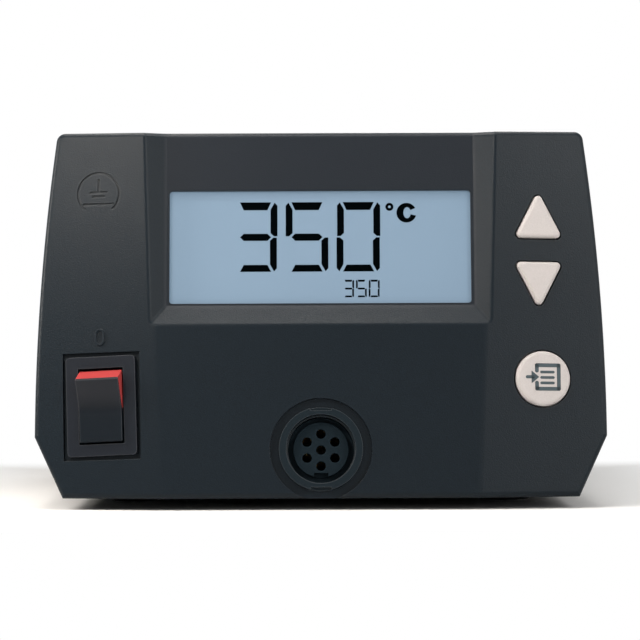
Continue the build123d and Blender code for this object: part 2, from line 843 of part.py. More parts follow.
# Bosses for the two boards
for x, y in board_screws_at:
    reach = pocket_depth_foot - 1.0 if y < 0 else -1.0
    fascia += bar(display, boss_radius, board_front, reach, (x, y))
    fascia -= pilot(display, board_front - 1, board_front + small_screw_length + 0.5, (x, y))
for at in button_screws_at:
    fascia += bar(button_plane, boss_radius, button_board_front, -1.0, at)
    fascia -= pilot(
        button_plane, button_board_front - 1, button_board_front + small_screw_length + 0.5, at
    )

# Button openings
for key in keys:
    fascia -= key.opening()

# Seat and hole of the rocker switch
recess_size = (bezel_width + 2 * recess_gap, bezel_height + 2 * recess_gap)
fascia -= block(recess_place, recess_size, -recess_depth, wall * 2)
fascia -= block(
    switch_place, (switch_width + 2 * switch_fit, switch_height + 2 * switch_fit), -wall * 3, 0
)

# Spot face and hole of the tool socket
fascia -= bar(socket_place, spot_radius, -spot_depth, wall)
fascia -= bar(socket_place, barrel_radius + barrel_fit, -barrel_length - 0.6, 0)

# Raised "0" above the switch: the off position
off_mark_rise = 4.25        # above the switch's bezel
off_mark_away = bezel_height / 2 + off_mark_rise
off_mark_at = (
    switch_centre[0] - off_mark_away * sin(radians(switch_turn)),
    switch_centre[1] + off_mark_away * cos(radians(switch_turn)),
)
off_mark_size = (2.2, 3.65)
mark_stroke = 0.45
mark_relief = 0.4
off_place = turned_facet(*off_mark_at, -1)
off_outer = block(off_place, off_mark_size, -0.5, mark_relief, (0, 0), off_mark_size[0] / 2 - 0.01)
off_inner = block(
    off_place, (off_mark_size[0] - 2 * mark_stroke, off_mark_size[1] - 2 * mark_stroke), -wall / 2, wall,
    (0, 0), off_mark_size[0] / 2 - mark_stroke - 0.01,
)
fascia += off_outer - off_inner

# Engraved mark of the earth bonding point: an earth sign in an open ring over a bar
bond_mark_side = 13.85
bond_mark_drop = 13.4
bond_mark_at = (bond_mark_side - half_width, fascia_height - bond_mark_drop)
bond_ring = 4.85
bond_open_low = bond_ring * 0.7         # the ring is open below this, under its middle
bond_bar_low = bond_ring * 0.48
bond_bar_width = bond_ring * 1.42
sign_stem = bond_ring * 0.6             # upright of the earth sign
sign_line = bond_ring * 0.06            # its first line, above the ring's middle
sign_widths = (bond_ring * 0.8, bond_ring * 0.56)
sign_pitch = 0.9
engraving = 0.3
bond_place = turned_facet(*bond_mark_at, -1)
mark_cut = ring(bond_place, bond_ring, bond_ring - mark_stroke, -engraving, wall)
mark_cut -= block(
    bond_place, (2 * bond_ring, bond_ring), -wall, 2 * wall, (0, -bond_open_low - bond_ring / 2)
)
mark_cut += block(bond_place, (bond_bar_width, mark_stroke), -engraving, wall, (0, -bond_bar_low))
mark_cut += block(bond_place, (mark_stroke, sign_stem), -engraving, wall, (0, sign_line + sign_stem / 2))
for step, sign_width in enumerate(sign_widths):
    mark_cut += block(
        bond_place, (sign_width, mark_stroke), -engraving, wall, (0, sign_line - step * sign_pitch)
    )
fascia -= mark_cut
export("front_fascia", fascia)

# ---------------------------------------------------------------------------
# Top cover and base tray
# ---------------------------------------------------------------------------

panel_y = rear - panel_recess           # outer face of the rear panel
panel_front = panel_y - panel_thickness
covers = shell - beyond(seam_back)
covers += band(wall - 0.5, wall + rib_height, panel_y + panel_gap, panel_y + panel_gap + rib_thickness)
covers += band(wall - 0.5, wall + rib_height, panel_front - panel_gap - rib_thickness, panel_front - panel_gap)
top_cover = covers - beyond(cover_edge)
base_tray = covers - beyond(tray_edge)

post_x = bottom_half_width - post_in
post_front = front + post_from_front
post_rear = panel_front - panel_gap - rib_thickness - post_gap - post_radius
posts_at = [(x, y) for x in (-post_x, post_x) for y in (post_front, post_rear)]
post_top = underside + post_height
cover_post_radius = post_radius - 0.5
ceiling = underside + body_height - wall / 2
head_sink = screw_head_height + head_gap
for at in posts_at:
    base_tray += bar(ground, post_radius, underside + wall / 2, post_top, at)
    base_tray -= bar(ground, screw_radius + screw_fit, 0, post_top + 1, at)
    base_tray -= bar(ground, screw_head_radius + screw_fit, 0, underside + head_sink, at)
    top_cover += bar(ground, cover_post_radius, post_top, ceiling, at)
    top_cover -= bar(ground, screw_radius + pilot_gap, post_top - 1, post_top + screw_length, at)

# Air slots in the sides
slot_width = 2.2
slot_height = 24.0
slot_pitch = 6.0
slot_count = 8
slot_from_rear = 48.0                   # middle of the row
slot_low = 37.5                         # above the underside
for i in range(slot_count):
    y = rear - slot_from_rear + (i - (slot_count - 1) / 2) * slot_pitch
    slot_at = (0, y, underside + slot_low + slot_height / 2)
    side_plane = Plane(origin=slot_at, x_dir=(0, 1, 0), z_dir=(1, 0, 0))
    top_cover -= block(side_plane, (slot_width, slot_height), -width, width, (0, 0), slot_width / 2 - 0.01)

# Seats on the tray
foot_x = bottom_half_width - foot_in
foot_front = front + foot_from_front
foot_rear = rear - foot_from_rear
feet_at = {
    "front_left": (-foot_x, foot_front),
    "front_right": (foot_x, foot_front),
    "rear_left": (-foot_x, foot_rear),
    "rear_right": (foot_x, foot_rear),
}
for at in feet_at.values():
    base_tray -= bar(ground, foot_radius + foot_fit, 0, underside + foot_recess, at)

core_y = rear - core_from_rear
power_width = 2 * (post_x - post_radius - power_side_gap)
power_y = core_y - core_stack / 2 - power_from_core - power_depth / 2
power_corner = (power_width / 2 - power_corner_inset, power_depth / 2 - power_corner_inset)
power_screws_at = [
    (x * power_corner[0], power_y + y * power_corner[1]) for x in (-1, 1) for y in (-1, 1)
]
power_low = tray_floor + power_height
power_top = power_low + board_thickness
for at in power_screws_at:
    base_tray += bar(ground, power_post_radius, tray_floor - 0.5, power_low, at)
    base_tray -= pilot(ground, tray_floor, power_low + 1, at)

bracket_hole_x = core_width / 2 + bracket_thickness + bracket_foot / 2
bracket_post_height = 8.0
bracket_low = tray_floor + bracket_post_height
for side in (-1, 1):
    at = (side * bracket_hole_x, core_y)
    base_tray += bar(ground, bracket_foot / 2, tray_floor - 0.5, bracket_low, at)
    base_tray -= bar(ground, transformer_screw_radius + pilot_gap, tray_floor, bracket_low + 1, at)
export("top_cover", top_cover)
export("base_tray", base_tray)

for name, at in feet_at.items():
    foot = bar(ground, foot_radius, 0, underside + foot_recess, at)
    sole = foot.faces().sort_by(Axis.Z)[0]
    export(f"foot_{name}", chamfer(sole.edges(), 0.5))

case_screws = []
for at in posts_at:
    head_low = underside + head_sink - screw_head_height
    head = bar(ground, screw_head_radius, head_low, underside + head_sink, at)
    shank = bar(ground, screw_radius, underside + head_sink, underside + head_sink + screw_length, at)
    case_screws.append(head + shank - block(ground, screw_slot, head_low, head_low + screw_slot_depth, at))
export("case_screws", Compound(children=case_screws))

# ---------------------------------------------------------------------------
# Rear panel and what it carries
# ---------------------------------------------------------------------------

inlet_place = Plane(origin=(inlet_x, panel_y, inlet_z), x_dir=(-1, 0, 0), z_dir=(0, 1, 0))
bond_socket_place = Plane(origin=(bond_x, panel_y, bond_z), x_dir=(-1, 0, 0), z_dir=(0, 1, 0))
cutout_fit = 0.25
inlet_screws_at = [(side * inlet_screw_pitch / 2, 0) for side in (-1, 1)]

rear_panel = prism(wall + panel_gap, panel_front, panel_y)
rear_panel -= block(
    inlet_place, (inlet_body_width + 2 * cutout_fit, inlet_body_height + 2 * cutout_fit), -wall * 2, wall
)
for at in inlet_screws_at:
    rear_panel -= bar(inlet_place, screw_radius + screw_fit, -wall * 2, wall, at)
rear_panel -= bar(bond_socket_place, bond_barrel + 0.1, -wall * 2, wall)
rear_slot_width = 26.0
rear_slot_pitch = 5.0
rear_slot_count = 5
rear_slots_low = 38.0
for i in range(rear_slot_count):
    slot_place = Plane(
        origin=(bond_x - 4, panel_y, rear_slots_low + i * rear_slot_pitch), x_dir=(-1, 0, 0), z_dir=(0, 1, 0)
    )
    rear_panel -= block(
        slot_place, (rear_slot_width, slot_width), -wall * 2, wall, (0, 0), slot_width / 2 - 0.01
    )
export("rear_panel", rear_panel)

opening_at = (0, inlet_opening_rise)
opening_floor = inlet_flange - inlet_opening_depth
opening = block(
    inlet_place, (inlet_opening_width, inlet_opening_height), opening_floor, inlet_flange + 1, opening_at
)
upper_edges = opening.edges().filter_by(Axis.Y).group_by(Axis.Z)[-1]
opening = chamfer(upper_edges, inlet_corner)
outer_pin_y = inlet_opening_rise - pin_drop
pins_at = [(-pin_pitch, outer_pin_y), (pin_pitch, outer_pin_y), (0, outer_pin_y + pin_rise)]
pin_tip = opening_floor + pin_length
tab_end = -inlet_body_depth - tab_length
pins = [block(inlet_place, (pin_thickness, pin_width), tab_end, pin_tip, at) for at in pins_at]

drawer_back = inlet_flange - drawer_length
drawer_at = (0, -drawer_drop)
drawer_slot = (drawer_width + 2 * drawer_gap, drawer_height + 2 * drawer_gap)
inlet = block(inlet_place, (flange_width, flange_height), 0, inlet_flange, (0, 0), flange_radius)
inlet += block(inlet_place, (inlet_body_width, inlet_body_height), -inlet_body_depth, 0)
inlet -= opening
inlet -= block(inlet_place, drawer_slot, drawer_back - drawer_gap, inlet_flange + 1, drawer_at)
for pin in pins:
    inlet -= pin
for at in inlet_screws_at:
    inlet -= bar(inlet_place, screw_radius + screw_fit, -1, inlet_flange + 1, at)

drawer_cap_low = inlet_flange + drawer_gap
drawer = block(inlet_place, (drawer_width, drawer_height), drawer_back, drawer_cap_low, drawer_at)
drawer += block(
    inlet_place, drawer_cap_size, drawer_cap_low, drawer_cap_low + drawer_cap, drawer_at, drawer_cap_radius
)
fuse_depths = [drawer_back + away for away in fuse_from_back]
fuse_height = -drawer_drop - drawer_height / 2 + drawer_floor + fuse_radius
fuses = []
for fuse_depth in fuse_depths:
    fuse_middle = inlet_place.from_local_coords(Vector(0, fuse_height, fuse_depth))
    fuse_axis = Plane(origin=fuse_middle, x_dir=(0, 1, 0), z_dir=(1, 0, 0))
    fuses.append(bar(fuse_axis, fuse_radius, -fuse_length / 2, fuse_length / 2))
    drawer -= block(
        inlet_place, (fuse_length + 2 * fuse_fit, drawer_height), fuse_depth - fuse_radius - fuse_fit,
        fuse_depth + fuse_radius + fuse_fit, (0, -drawer_drop + drawer_floor),
    )
export("mains_inlet", inlet)
export("inlet_pins", Compound(children=pins))
export("fuse_drawer", drawer)
export("fuse_cartridges", Compound(children=fuses))

inlet_screws = []
nut_thickness = 2.4
for at in inlet_screws_at:
    head = bar(inlet_place, screw_head_radius, inlet_flange, inlet_flange + screw_head_height, at)
    top = inlet_flange + screw_head_height
    head -= block(inlet_place, screw_slot, top - screw_slot_depth, top + 1, at)
    shank = bar(inlet_place, screw_radius, -panel_thickness - nut_thickness - 1, inlet_flange, at)
    nut_plane = inlet_place.offset(-panel_thickness - nut_thickness)
    nut = extrude(nut_plane * Pos(*at) * RegularPolygon(2 * screw_radius + 0.1, 6), amount=nut_thickness)
    inlet_screws += [head + shank, nut - bar(inlet_place, screw_radius + pilot_gap, -wall * 3, 0, at)]
export("inlet_screws", Compound(children=inlet_screws))

bond_socket = bar(bond_socket_place, bond_flange, 0, bond_flange_thickness)
bond_socket += bar(bond_socket_place, bond_barrel, bond_flange_thickness - bond_length, 0)
bond_socket -= bar(
    bond_socket_place, bond_bore, bond_flange_thickness - bond_bore_depth, bond_flange_thickness + 1
)
bond_nut = extrude(
    bond_socket_place.offset(-panel_thickness - bond_nut_thickness) * RegularPolygon(bond_nut_radius, 6),
    amount=bond_nut_thickness,
)
bond_nut -= bar(bond_socket_place, bond_barrel + pilot_gap, -wall * 3, 0)
export("bonding_socket", bond_socket)
export("bonding_nut", bond_nut)

# ---------------------------------------------------------------------------
# Transformer
# ---------------------------------------------------------------------------

core_low = tray_floor
core_middle = core_low + core_height / 2
core_place = Plane(origin=(0, core_y, core_middle), x_dir=(1, 0, 0), z_dir=(0, -1, 0))
window_across = core_width / 2 - 2 * core_leg
window_up = core_height - 2 * core_leg
half_stack = core_stack / 2
core = block(core_place, (core_width, core_height), -half_stack, half_stack)
for side in (-1, 1):
    at = (side * (core_leg + window_across / 2), 0)
    core -= block(core_place, (window_across, window_up), -core_stack, core_stack, at)

upright = Plane(origin=(0, core_y, core_middle), x_dir=(1, 0, 0), z_dir=(0, 0, 1))
leg_hole = (2 * core_leg + 2 * coil_gap, core_stack + 2 * coil_gap)
tube_size = (leg_hole[0] + 2 * cheek, leg_hole[1] + 2 * cheek)
cheek_size = (core_width - 2 * core_leg - 2 * coil_gap, core_stack + 2 * coil_overhang)
coil_size = (cheek_size[0] - 2 * coil_gap, cheek_size[1] - 2 * coil_gap)
coil_top = window_up / 2 - coil_gap
bobbin = block(upright, tube_size, -coil_top, coil_top)
for low in (-coil_top, -cheek / 2, coil_top - cheek):
    bobbin += block(upright, cheek_size, low, low + cheek)
bobbin -= block(upright, leg_hole, -core_height, core_height)


def winding(low, high):
    """Wire wound round the bobbin's tube, between two cheeks."""
    return block(upright, coil_size, low, high, (0, 0), 1.5) - block(upright, tube_size, low - 1, high + 1)


export("transformer_core", core)
export("transformer_bobbin", bobbin)
export("primary_winding", winding(-coil_top + cheek, -cheek / 2))
export("secondary_winding", winding(cheek / 2, coil_top - cheek))

bracket_half = core_width / 2 + bracket_thickness
bracket_top = core_low + core_height + bracket_thickness
bracket_plane = Plane(origin=(0, core_y, 0), x_dir=(1, 0, 0), z_dir=(0, 0, 1))
bracket = block(bracket_plane, (2 * bracket_half, bracket_width), bracket_low, bracket_top)
bracket += block(
    bracket_plane, (2 * (bracket_half + bracket_foot), bracket_width), bracket_low,
    bracket_low + bracket_thickness,
)
bracket -= block(bracket_plane, (core_width, bracket_width * 2), 0, core_low + core_height)
transformer_screws = []
for side in (-1, 1):
    at = (side * bracket_hole_x, core_y)
    top = bracket_low + bracket_thickness
    bracket -= bar(ground, transformer_screw_radius + screw_fit, 0, top + 1, at)
    head = bar(ground, transformer_screw_radius * 1.8, top, top + 2.6, at)
    head -= block(ground, (4.5, 0.9), top + 1.4, top + 3, at)
    transformer_screws.append(head + bar(ground, transformer_screw_radius, tray_floor + 0.5, top, at))
export("transformer_bracket", bracket)
export("transformer_screws", Compound(children=transformer_screws))

# ---------------------------------------------------------------------------
# Power board
# ---------------------------------------------------------------------------

power_board = block(
    ground, (power_width, power_depth), power_low, power_top, (0, power_y), 1.5
)
power_screws = []
for at in power_screws_at:
    power_board -= bar(ground, small_screw_radius + 0.2, 0, power_top + 1, at)
    head = bar(ground, small_screw_head, power_top, power_top + small_screw_head_height, at)
    head -= block(ground, (3.4, 0.6), power_top + 0.8, power_top + 3, at)
    power_screws.append(head + bar(ground, small_screw_radius, power_top - 6, power_top, at))

terminal_at = (terminal_x, power_y - power_depth / 2 + terminal_size[1])
connector_at = (connector_x, power_y - power_depth / 2 + connector_size[1] + connector_in)
sink_at = (power_corner[0] - sink_size[0] / 2, power_y + sink_in)
terminal_block = block(ground, terminal_size, power_top, power_top + terminal_height, terminal_at, 0.5)
connector = block(ground, connector_size, power_top, power_top + connector_height, connector_at, 0.5)
heat_sink = block(
    ground, (sink_size[0], sink_base), power_top, power_top + sink_height,
    (sink_at[0], sink_at[1] + sink_size[1] / 2 - sink_base / 2),
)
for i in range(fin_count):
    x = sink_at[0] + (i / (fin_count - 1) - 0.5) * (sink_size[0] - fin_thickness)
    heat_sink += block(
        ground, (fin_thickness, sink_size[1]), power_top, power_top + sink_height, (x, sink_at[1])
    )
triac_at = (sink_at[0], sink_at[1] + sink_size[1] / 2 + triac_size[1] / 2)
triac_low = power_top + triac_leg_length
triac = block(ground, triac_size, triac_low, triac_low + triac_height, triac_at)
for x in (-triac_leg_pitch, 0, triac_leg_pitch):
    triac += block(ground, triac_leg, power_top, triac_low, (triac_at[0] + x, triac_at[1]))
store_at = (small_screw_head + capacitor_gap + store_radius - power_corner[0], power_y + capacitor_in)
filters_at = [
    (store_at[0] + store_radius + capacitor_gap + filter_radius, store_at[1]),
    (terminal_at[0] + terminal_size[0] / 2 + filter_gap + filter_radius, terminal_at[1]),
]
capacitors = [bar(ground, store_radius, power_top, power_top + store_height, store_at)]
for at in filters_at:
    capacitors.append(bar(ground, filter_radius, power_top, power_top + filter_height, at))
export("power_board", power_board)
export("power_board_screws", Compound(children=power_screws))
export("terminal_block", terminal_block)
export("board_connector", connector)
export("heat_sink", heat_sink)
export("triac", triac)
export("capacitors", Compound(children=capacitors))

# ---------------------------------------------------------------------------
# Inner leads, from terminal to terminal
# ---------------------------------------------------------------------------

lead_radius = 1.2
loom_radius = 2.6


def lead(name, radius, points):
    """A lead of straight runs joined by arcs as large as the runs allow."""
    points = [Vector(*p) for p in points]
    radii = []
    for a, b, c in zip(points, points[1:], points[2:]):
        turn = radians((b - a).get_angle(c - b))
        shorter = min((b - a).length, (c - b).length)
        radii.append(0.45 * shorter / tan(turn / 2))
    path = FilletPolyline(*points, radius=radii)
    start = Plane(origin=path @ 0, z_dir=path % 0)
    export(name, sweep(start * Circle(radius), path=path))


def switch_tail(across, up, out=0.0):
    """A place behind a terminal of the rocker switch."""
    return switch_place.from_local_coords(Vector(across, up, switch_back - terminal_length - out))


winding_front = core_y - coil_size[1] / 2
supply_start = inlet_place.from_local_coords(Vector(pin_pitch, outer_pin_y, tab_end))
lead("supply_lead", lead_radius, [
    supply_start, supply_start + Vector(0, -6, 0), (-38.5, 25, 36), (-39.5, 10, 38), (-38.5, -8, 37),
    (-38, -23, 33), switch_tail(terminal_across, terminal_up, 7), switch_tail(terminal_across, terminal_up),
])
lead("primary_lead", lead_radius, [
    switch_tail(terminal_across, -terminal_up), switch_tail(terminal_across, -terminal_up, 5),
    (-37.5, -30, 19.5), (-31, -21, 26), (-20, -19.5, 28),
    (-14, winding_front - 5, 28), (-14, winding_front, 28),
])
lead("secondary_lead", lead_radius, [
    (8, winding_front, 42), (8, winding_front - 6, 42), (0, -25, 40), (-8, -29, 35),
    (*terminal_at, power_top + terminal_height + 7), (*terminal_at, power_top + terminal_height),
])
loom_start = socket_place.from_local_coords(Vector(0, 0, contact_back))
lead("socket_loom", loom_radius, [
    loom_start, socket_place.from_local_coords(Vector(0, 0, contact_back - 6)), (3, -46, 14), (7, -42, 24),
    (12, -36, 31), (*connector_at, power_top + connector_height + 9),
    (*connector_at, power_top + connector_height),
])
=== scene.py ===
# %% [markdown]
# # The control unit of a soldering station
# The real object is a dark moulded case with a leaning front: a display in a sunken pocket, three pale
# keys, a rocker switch, and the round socket for the iron. The CAD model already gives every part its
# place and its size, so this lesson adds what CAD leaves out: the finishes, the figures on the display,
# the printed sign on a key, the light and the camera. Everything is in metres, and one millimetre gets a
# short name.

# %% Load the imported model
import json
from math import atan2, pi, radians, sin

import bpy
from mathutils import Matrix, Vector


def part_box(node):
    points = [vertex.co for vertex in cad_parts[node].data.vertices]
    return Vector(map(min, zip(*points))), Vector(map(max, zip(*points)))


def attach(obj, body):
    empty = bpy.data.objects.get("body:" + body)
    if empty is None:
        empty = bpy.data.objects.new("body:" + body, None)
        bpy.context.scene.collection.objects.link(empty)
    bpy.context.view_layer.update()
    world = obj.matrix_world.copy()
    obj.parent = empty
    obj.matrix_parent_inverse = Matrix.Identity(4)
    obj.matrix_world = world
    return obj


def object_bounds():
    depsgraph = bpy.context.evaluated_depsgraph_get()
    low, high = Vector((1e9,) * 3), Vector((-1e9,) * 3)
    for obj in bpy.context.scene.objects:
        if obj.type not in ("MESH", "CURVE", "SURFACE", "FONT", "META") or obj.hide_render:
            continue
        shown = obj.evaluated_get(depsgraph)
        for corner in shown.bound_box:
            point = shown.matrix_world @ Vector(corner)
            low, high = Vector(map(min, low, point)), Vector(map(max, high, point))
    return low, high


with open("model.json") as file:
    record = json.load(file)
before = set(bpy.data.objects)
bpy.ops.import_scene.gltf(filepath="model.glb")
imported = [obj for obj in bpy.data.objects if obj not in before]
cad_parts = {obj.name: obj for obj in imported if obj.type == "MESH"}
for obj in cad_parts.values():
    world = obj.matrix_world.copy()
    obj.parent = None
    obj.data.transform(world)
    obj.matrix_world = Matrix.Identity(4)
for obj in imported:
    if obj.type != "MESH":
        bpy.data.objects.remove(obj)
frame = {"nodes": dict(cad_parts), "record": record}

mm = 0.001
nodes = frame["nodes"]
cad_low, cad_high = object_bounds()
print(len(nodes), "parts,", [round((b - a) / mm, 1) for a, b in zip(cad_low, cad_high)], "mm")

# %% [markdown]
# ## The camera
# The unit is seen level and straight from the front, as a shop shows its goods. A long lens from 60 cm
# keeps the sides nearly parallel. A camera looks down its own -Z, so a quarter turn about X makes it look
# along +Y. A tripod is never quite level, so the camera also leans by a quarter of a degree about the
# line that it looks along. The front leans back, and its middle is worked out from the fascia's own box.

# %% A level camera with a long lens
fascia_low, fascia_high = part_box("front_fascia")
lean = radians(8)
fascia_middle = fascia_low.y + (fascia_high.z - fascia_low.z) / 2 * sin(lean)
view_distance = 600 * mm
view_height = 41.1 * mm
view_aside = -0.1 * mm
lens_length = 154.9
tripod_tilt = radians(0.23)

camera_data = bpy.data.cameras.new("studio_camera")
camera_data.lens = lens_length
camera = bpy.data.objects.new("studio_camera", camera_data)
camera.location = (view_aside, fascia_middle - view_distance, view_height)
camera.rotation_euler = (radians(90), tripod_tilt, 0)
bpy.context.scene.collection.objects.link(camera)
bpy.context.scene.camera = camera
bpy.context.scene.view_settings.view_transform = "Standard"
print("camera at", [round(v / mm, 1) for v in camera.location], "mm")

# %% [markdown]
# ## The light
# Black plastic hardly shows its own colour: what the eye sees on it is the lamps, blurred by its grain.
# So the lamps are placed by looking along the mirror line from each face. A small softbox close to the
# left shoulder makes the left wing bright at its top and lets it fade downwards, a larger one further
# away does the same for the right wing, and a row of small ones above the case draws the light line along
# its upper edge. Tall ones at the sides catch the upright edges. One behind the case is only for looking
# at its back.

# %% Softboxes
def softbox(name, place, target, width, height, watts, colour):
    """A rectangular lamp at one point that faces another."""
    lamp = bpy.data.lights.new(name, "AREA")
    lamp.shape = "RECTANGLE"
    lamp.size = width
    lamp.size_y = height
    lamp.energy = watts
    lamp.color = colour
    box = bpy.data.objects.new(name, lamp)
    box.location = place
    box.rotation_euler = (Vector(target) - Vector(place)).to_track_quat("-Z", "Y").to_euler()
    bpy.context.scene.collection.objects.link(box)


whole_front = (0, fascia_middle, view_height)
left_shoulder = (-0.047, -0.074, 0.077)
right_shoulder = (0.050, -0.074, 0.077)
top_edge = (0, -0.074, 0.06)
left_flank = (-0.062, -0.07, 0.06)
right_flank = (0.062, -0.07, 0.05)
whole_back = (0, 0.07, 0.04)
warm = (1.0, 0.94, 0.87)
mild = (1.0, 0.98, 0.95)

# each lamp: its name, its place, what it faces, its width and height, its watts and its colour
softbox("near_left", (-0.111, -0.206, 0.145), left_shoulder, 0.05, 0.04, 0.18, warm)
softbox("near_right", (0.109, -0.187, 0.137), right_shoulder, 0.05, 0.04, 0.035, mild)
softbox("right_softbox", (0.33, -0.46, 0.22), whole_front, 0.20, 0.34, 0.95, mild)
softbox("high_left", (-0.085, -0.155, 0.215), left_shoulder, 0.06, 0.05, 0.06, warm)
softbox("high_middle", (-0.01, -0.115, 0.24), top_edge, 0.12, 0.04, 0.20, mild)
softbox("high_right", (0.09, -0.15, 0.215), right_shoulder, 0.06, 0.05, 0.035, mild)
softbox("over_left", (-0.065, -0.03, 0.23), left_shoulder, 0.08, 0.06, 0.20, warm)
softbox("over_right", (0.07, -0.03, 0.23), right_shoulder, 0.08, 0.06, 0.12, mild)
softbox("side_left", (-0.174, -0.10, 0.10), left_flank, 0.03, 0.10, 0.24, warm)
softbox("side_right", (0.174, -0.10, 0.08), right_flank, 0.03, 0.14, 0.02, mild)
softbox("left_strip", (-0.50, -0.25, 0.12), whole_front, 0.20, 0.40, 0.20, mild)
softbox("right_strip", (0.50, -0.25, 0.12), whole_front, 0.20, 0.40, 0.40, mild)
softbox("rear_softbox", (0.15, 0.55, 0.30), whole_back, 0.30, 0.20, 1.5, mild)
print(len(bpy.data.lights), "lamps")

# %% [markdown]
# ## A small kit for node trees
# A finish is a tree of shader nodes. Written as Python, a sum of three terms needs five lines of node
# making, so a small class wraps a node's output and lets the usual signs add the Math nodes. The signs +
# - and * also take a plain number on either side, and | stands for the larger of two values.

# %% A wire that can be reckoned with
class Wire:
    """The output of a shader node; a sign used on it adds a Math node."""

    def __init__(self, kit, socket):
        self.kit = kit
        self.socket = socket

    def math(self, operation, *terms):
        return self.kit.add("Math", {"operation": operation}, dict(enumerate(terms)))

    def __add__(self, other):
        return self.math("ADD", self, other)

    def __sub__(self, other):
        return self.math("SUBTRACT", self, other)

    def __rsub__(self, other):
        return self.math("SUBTRACT", other, self)

    def __mul__(self, other):
        return self.math("MULTIPLY", self, other)

    def __or__(self, other):
        return self.math("MAXIMUM", self, other)

    def __abs__(self):
        return self.math("ABSOLUTE", self)

    __radd__ = __add__
    __rmul__ = __mul__


print("signs that make nodes: + - * | and abs")

# %% [markdown]
# ## Trees and finishes
# A second class holds a tree and has one method that makes any other node: its kind, its settings, then
# the values or wires of its sockets. A finish is such a tree inside a material. It starts with the
# Principled shader, which serves plastic, metal, lacquer and glass alike, and with the output that shows
# it.

# %% A tree, and a material round it
class Kit:
    """A node tree that starts empty, with one way to add any node."""

    def __init__(self, tree):
        self.tree = tree
        tree.nodes.clear()

    def feed(self, node, values):
        """Gives a node's sockets their values or links."""
        for socket, value in values.items():
            if isinstance(value, Wire):
                self.tree.links.new(value.socket, node.inputs[socket])
            else:
                node.inputs[socket].default_value = value

    def add(self, kind, settings=None, values=None, out=0):
        """Makes a node of any kind; returns the wire from one output, or the node if it has none."""
        node = self.tree.nodes.new("ShaderNode" + kind)
        for name, value in (settings or {}).items():
            setattr(node, name, value)
        self.feed(node, values or {})
        return Wire(self, node.outputs[out]) if node.outputs else node


class Finish(Kit):
    """One material, made node by node round a Principled shader."""

    def __init__(self, name, **constants):
        self.material = bpy.data.materials.new(name)
        self.material.use_nodes = True
        super().__init__(self.material.node_tree)
        self.shine = self.add("BsdfPrincipled", {}, {k.replace("_", " "): v for k, v in constants.items()})
        self.surface = self.shine.socket.node
        self.shown = self.add("OutputMaterial", {}, {"Surface": self.shine})


print("trees:", Kit.__name__, "and", Finish.__name__)

# %% [markdown]
# ## The world
# The background is white, but a white world would also flood the object with light. The Light Path node
# tells the rays apart: what the camera, a reflection or a look through glass meets is white, and the
# light that reaches the surfaces is lower. The floor will use the same test of rays, so it is a function.

# %% A world that is white to the eye
def on_a_look(kit):
    """1 for a ray of the eye, be it straight, mirrored or through glass, and 0 for the light's own rays."""
    straight, mirrored, through = (
        kit.add("LightPath", out=f"Is {kind} Ray") for kind in ("Camera", "Glossy", "Transmission"))
    return straight | mirrored | through


white = (1, 1, 1, 1)
ambient_level = 0.04
world = bpy.data.worlds.new("studio")
world.use_nodes = True
bpy.context.scene.world = world
sky = Kit(world.node_tree)
dim = sky.add("Background", {}, {"Color": white, "Strength": ambient_level})
clear = sky.add("Background", {}, {"Color": white, "Strength": 1.0})
sky.add("OutputWorld", {}, {"Surface": sky.add("MixShader", {}, {0: on_a_look(sky), 1: dim, 2: clear})})
print("world lights with", ambient_level)

# %% [markdown]
# ## Grain and clouds
# A real surface is never one even colour. Moulding leaves a fine grain, and a batch of plastic has faint
# clouds. Both are noise, at two sizes. It is read in Object coordinates, so it stays on the part when the
# part moves.

# %% Places and noise
def place_on(finish, axis=None):
    """The place on the part, or its X, Y or Z alone."""
    place = finish.add("TexCoord", out="Object")
    return finish.add("SeparateXYZ", {}, {"Vector": place}, out=axis) if axis else place


def speckle(finish, size, detail=2.0, stretch=(1, 1, 1)):
    """Noise whose spots are about this size, from 0 to 1; stretch squeezes it along the axes."""
    place = finish.add("Mapping", {}, {"Vector": place_on(finish), "Scale": stretch})
    return finish.add("TexNoise", {}, {"Vector": place, "Scale": 1 / size, "Detail": detail})


print("noise ready:", speckle.__name__)

# %% [markdown]
# ## Edges
# Handling polishes the edges of a thing, and no moulded edge is sharp. The Bevel node gives the direction
# that the surface would have if its edges were rounded. That serves twice: as it is, it rounds the edge
# for the light, and where it turns away from the real direction, an edge is near, and there the colour
# is painted lighter, partly as wear and partly as a painted highlight.

# %% Where the edges are
# these turns also set where edges are painted lighter: partly wear, partly a painted highlight
first_turn, full_turn = 0.01, 0.12


def rise(value, start, end, how="LINEAR"):
    """0 at the start and 1 at the end; the end may be the lower of the two."""
    return value.kit.add(
        "MapRange", {"interpolation_type": how}, {"Value": value, "From Min": start, "From Max": end})


def dot(finish, one, other):
    """How far one direction or place reaches along another."""
    return finish.add("VectorMath", {"operation": "DOT_PRODUCT"}, {0: one, 1: other}, out="Value")


def edges(finish, radius, reach=0.7 * mm):
    """Near 1 along edges and 0 on flat faces, with the rounded direction of sharp edges."""
    rounded = finish.add("Bevel", {"samples": 4}, {"Radius": radius})
    wide = finish.add("Bevel", {"samples": 6}, {"Radius": reach})
    flat = finish.add("NewGeometry", out="Normal")
    return rise(1 - dot(finish, wide, flat), first_turn, full_turn), rounded


print("edges wear where the direction turns by", first_turn, "to", full_turn)

# %% [markdown]
# ## Colour and relief
# A colour isn't a number, so a Math node can't mix two of them: the Mix node does. A height becomes a
# bump with a real depth in metres, so the same grain looks right on a large part and on a small one.

# %% Mixing, bumps and the shelf of finishes
def tint(finish, share, plain, other):
    """Mixes two colours, or a colour and a wire, by a share from 0 to 1."""
    return finish.add("Mix", {"data_type": "RGBA"}, {"Factor": share, 6: plain, 7: other}, out=2)


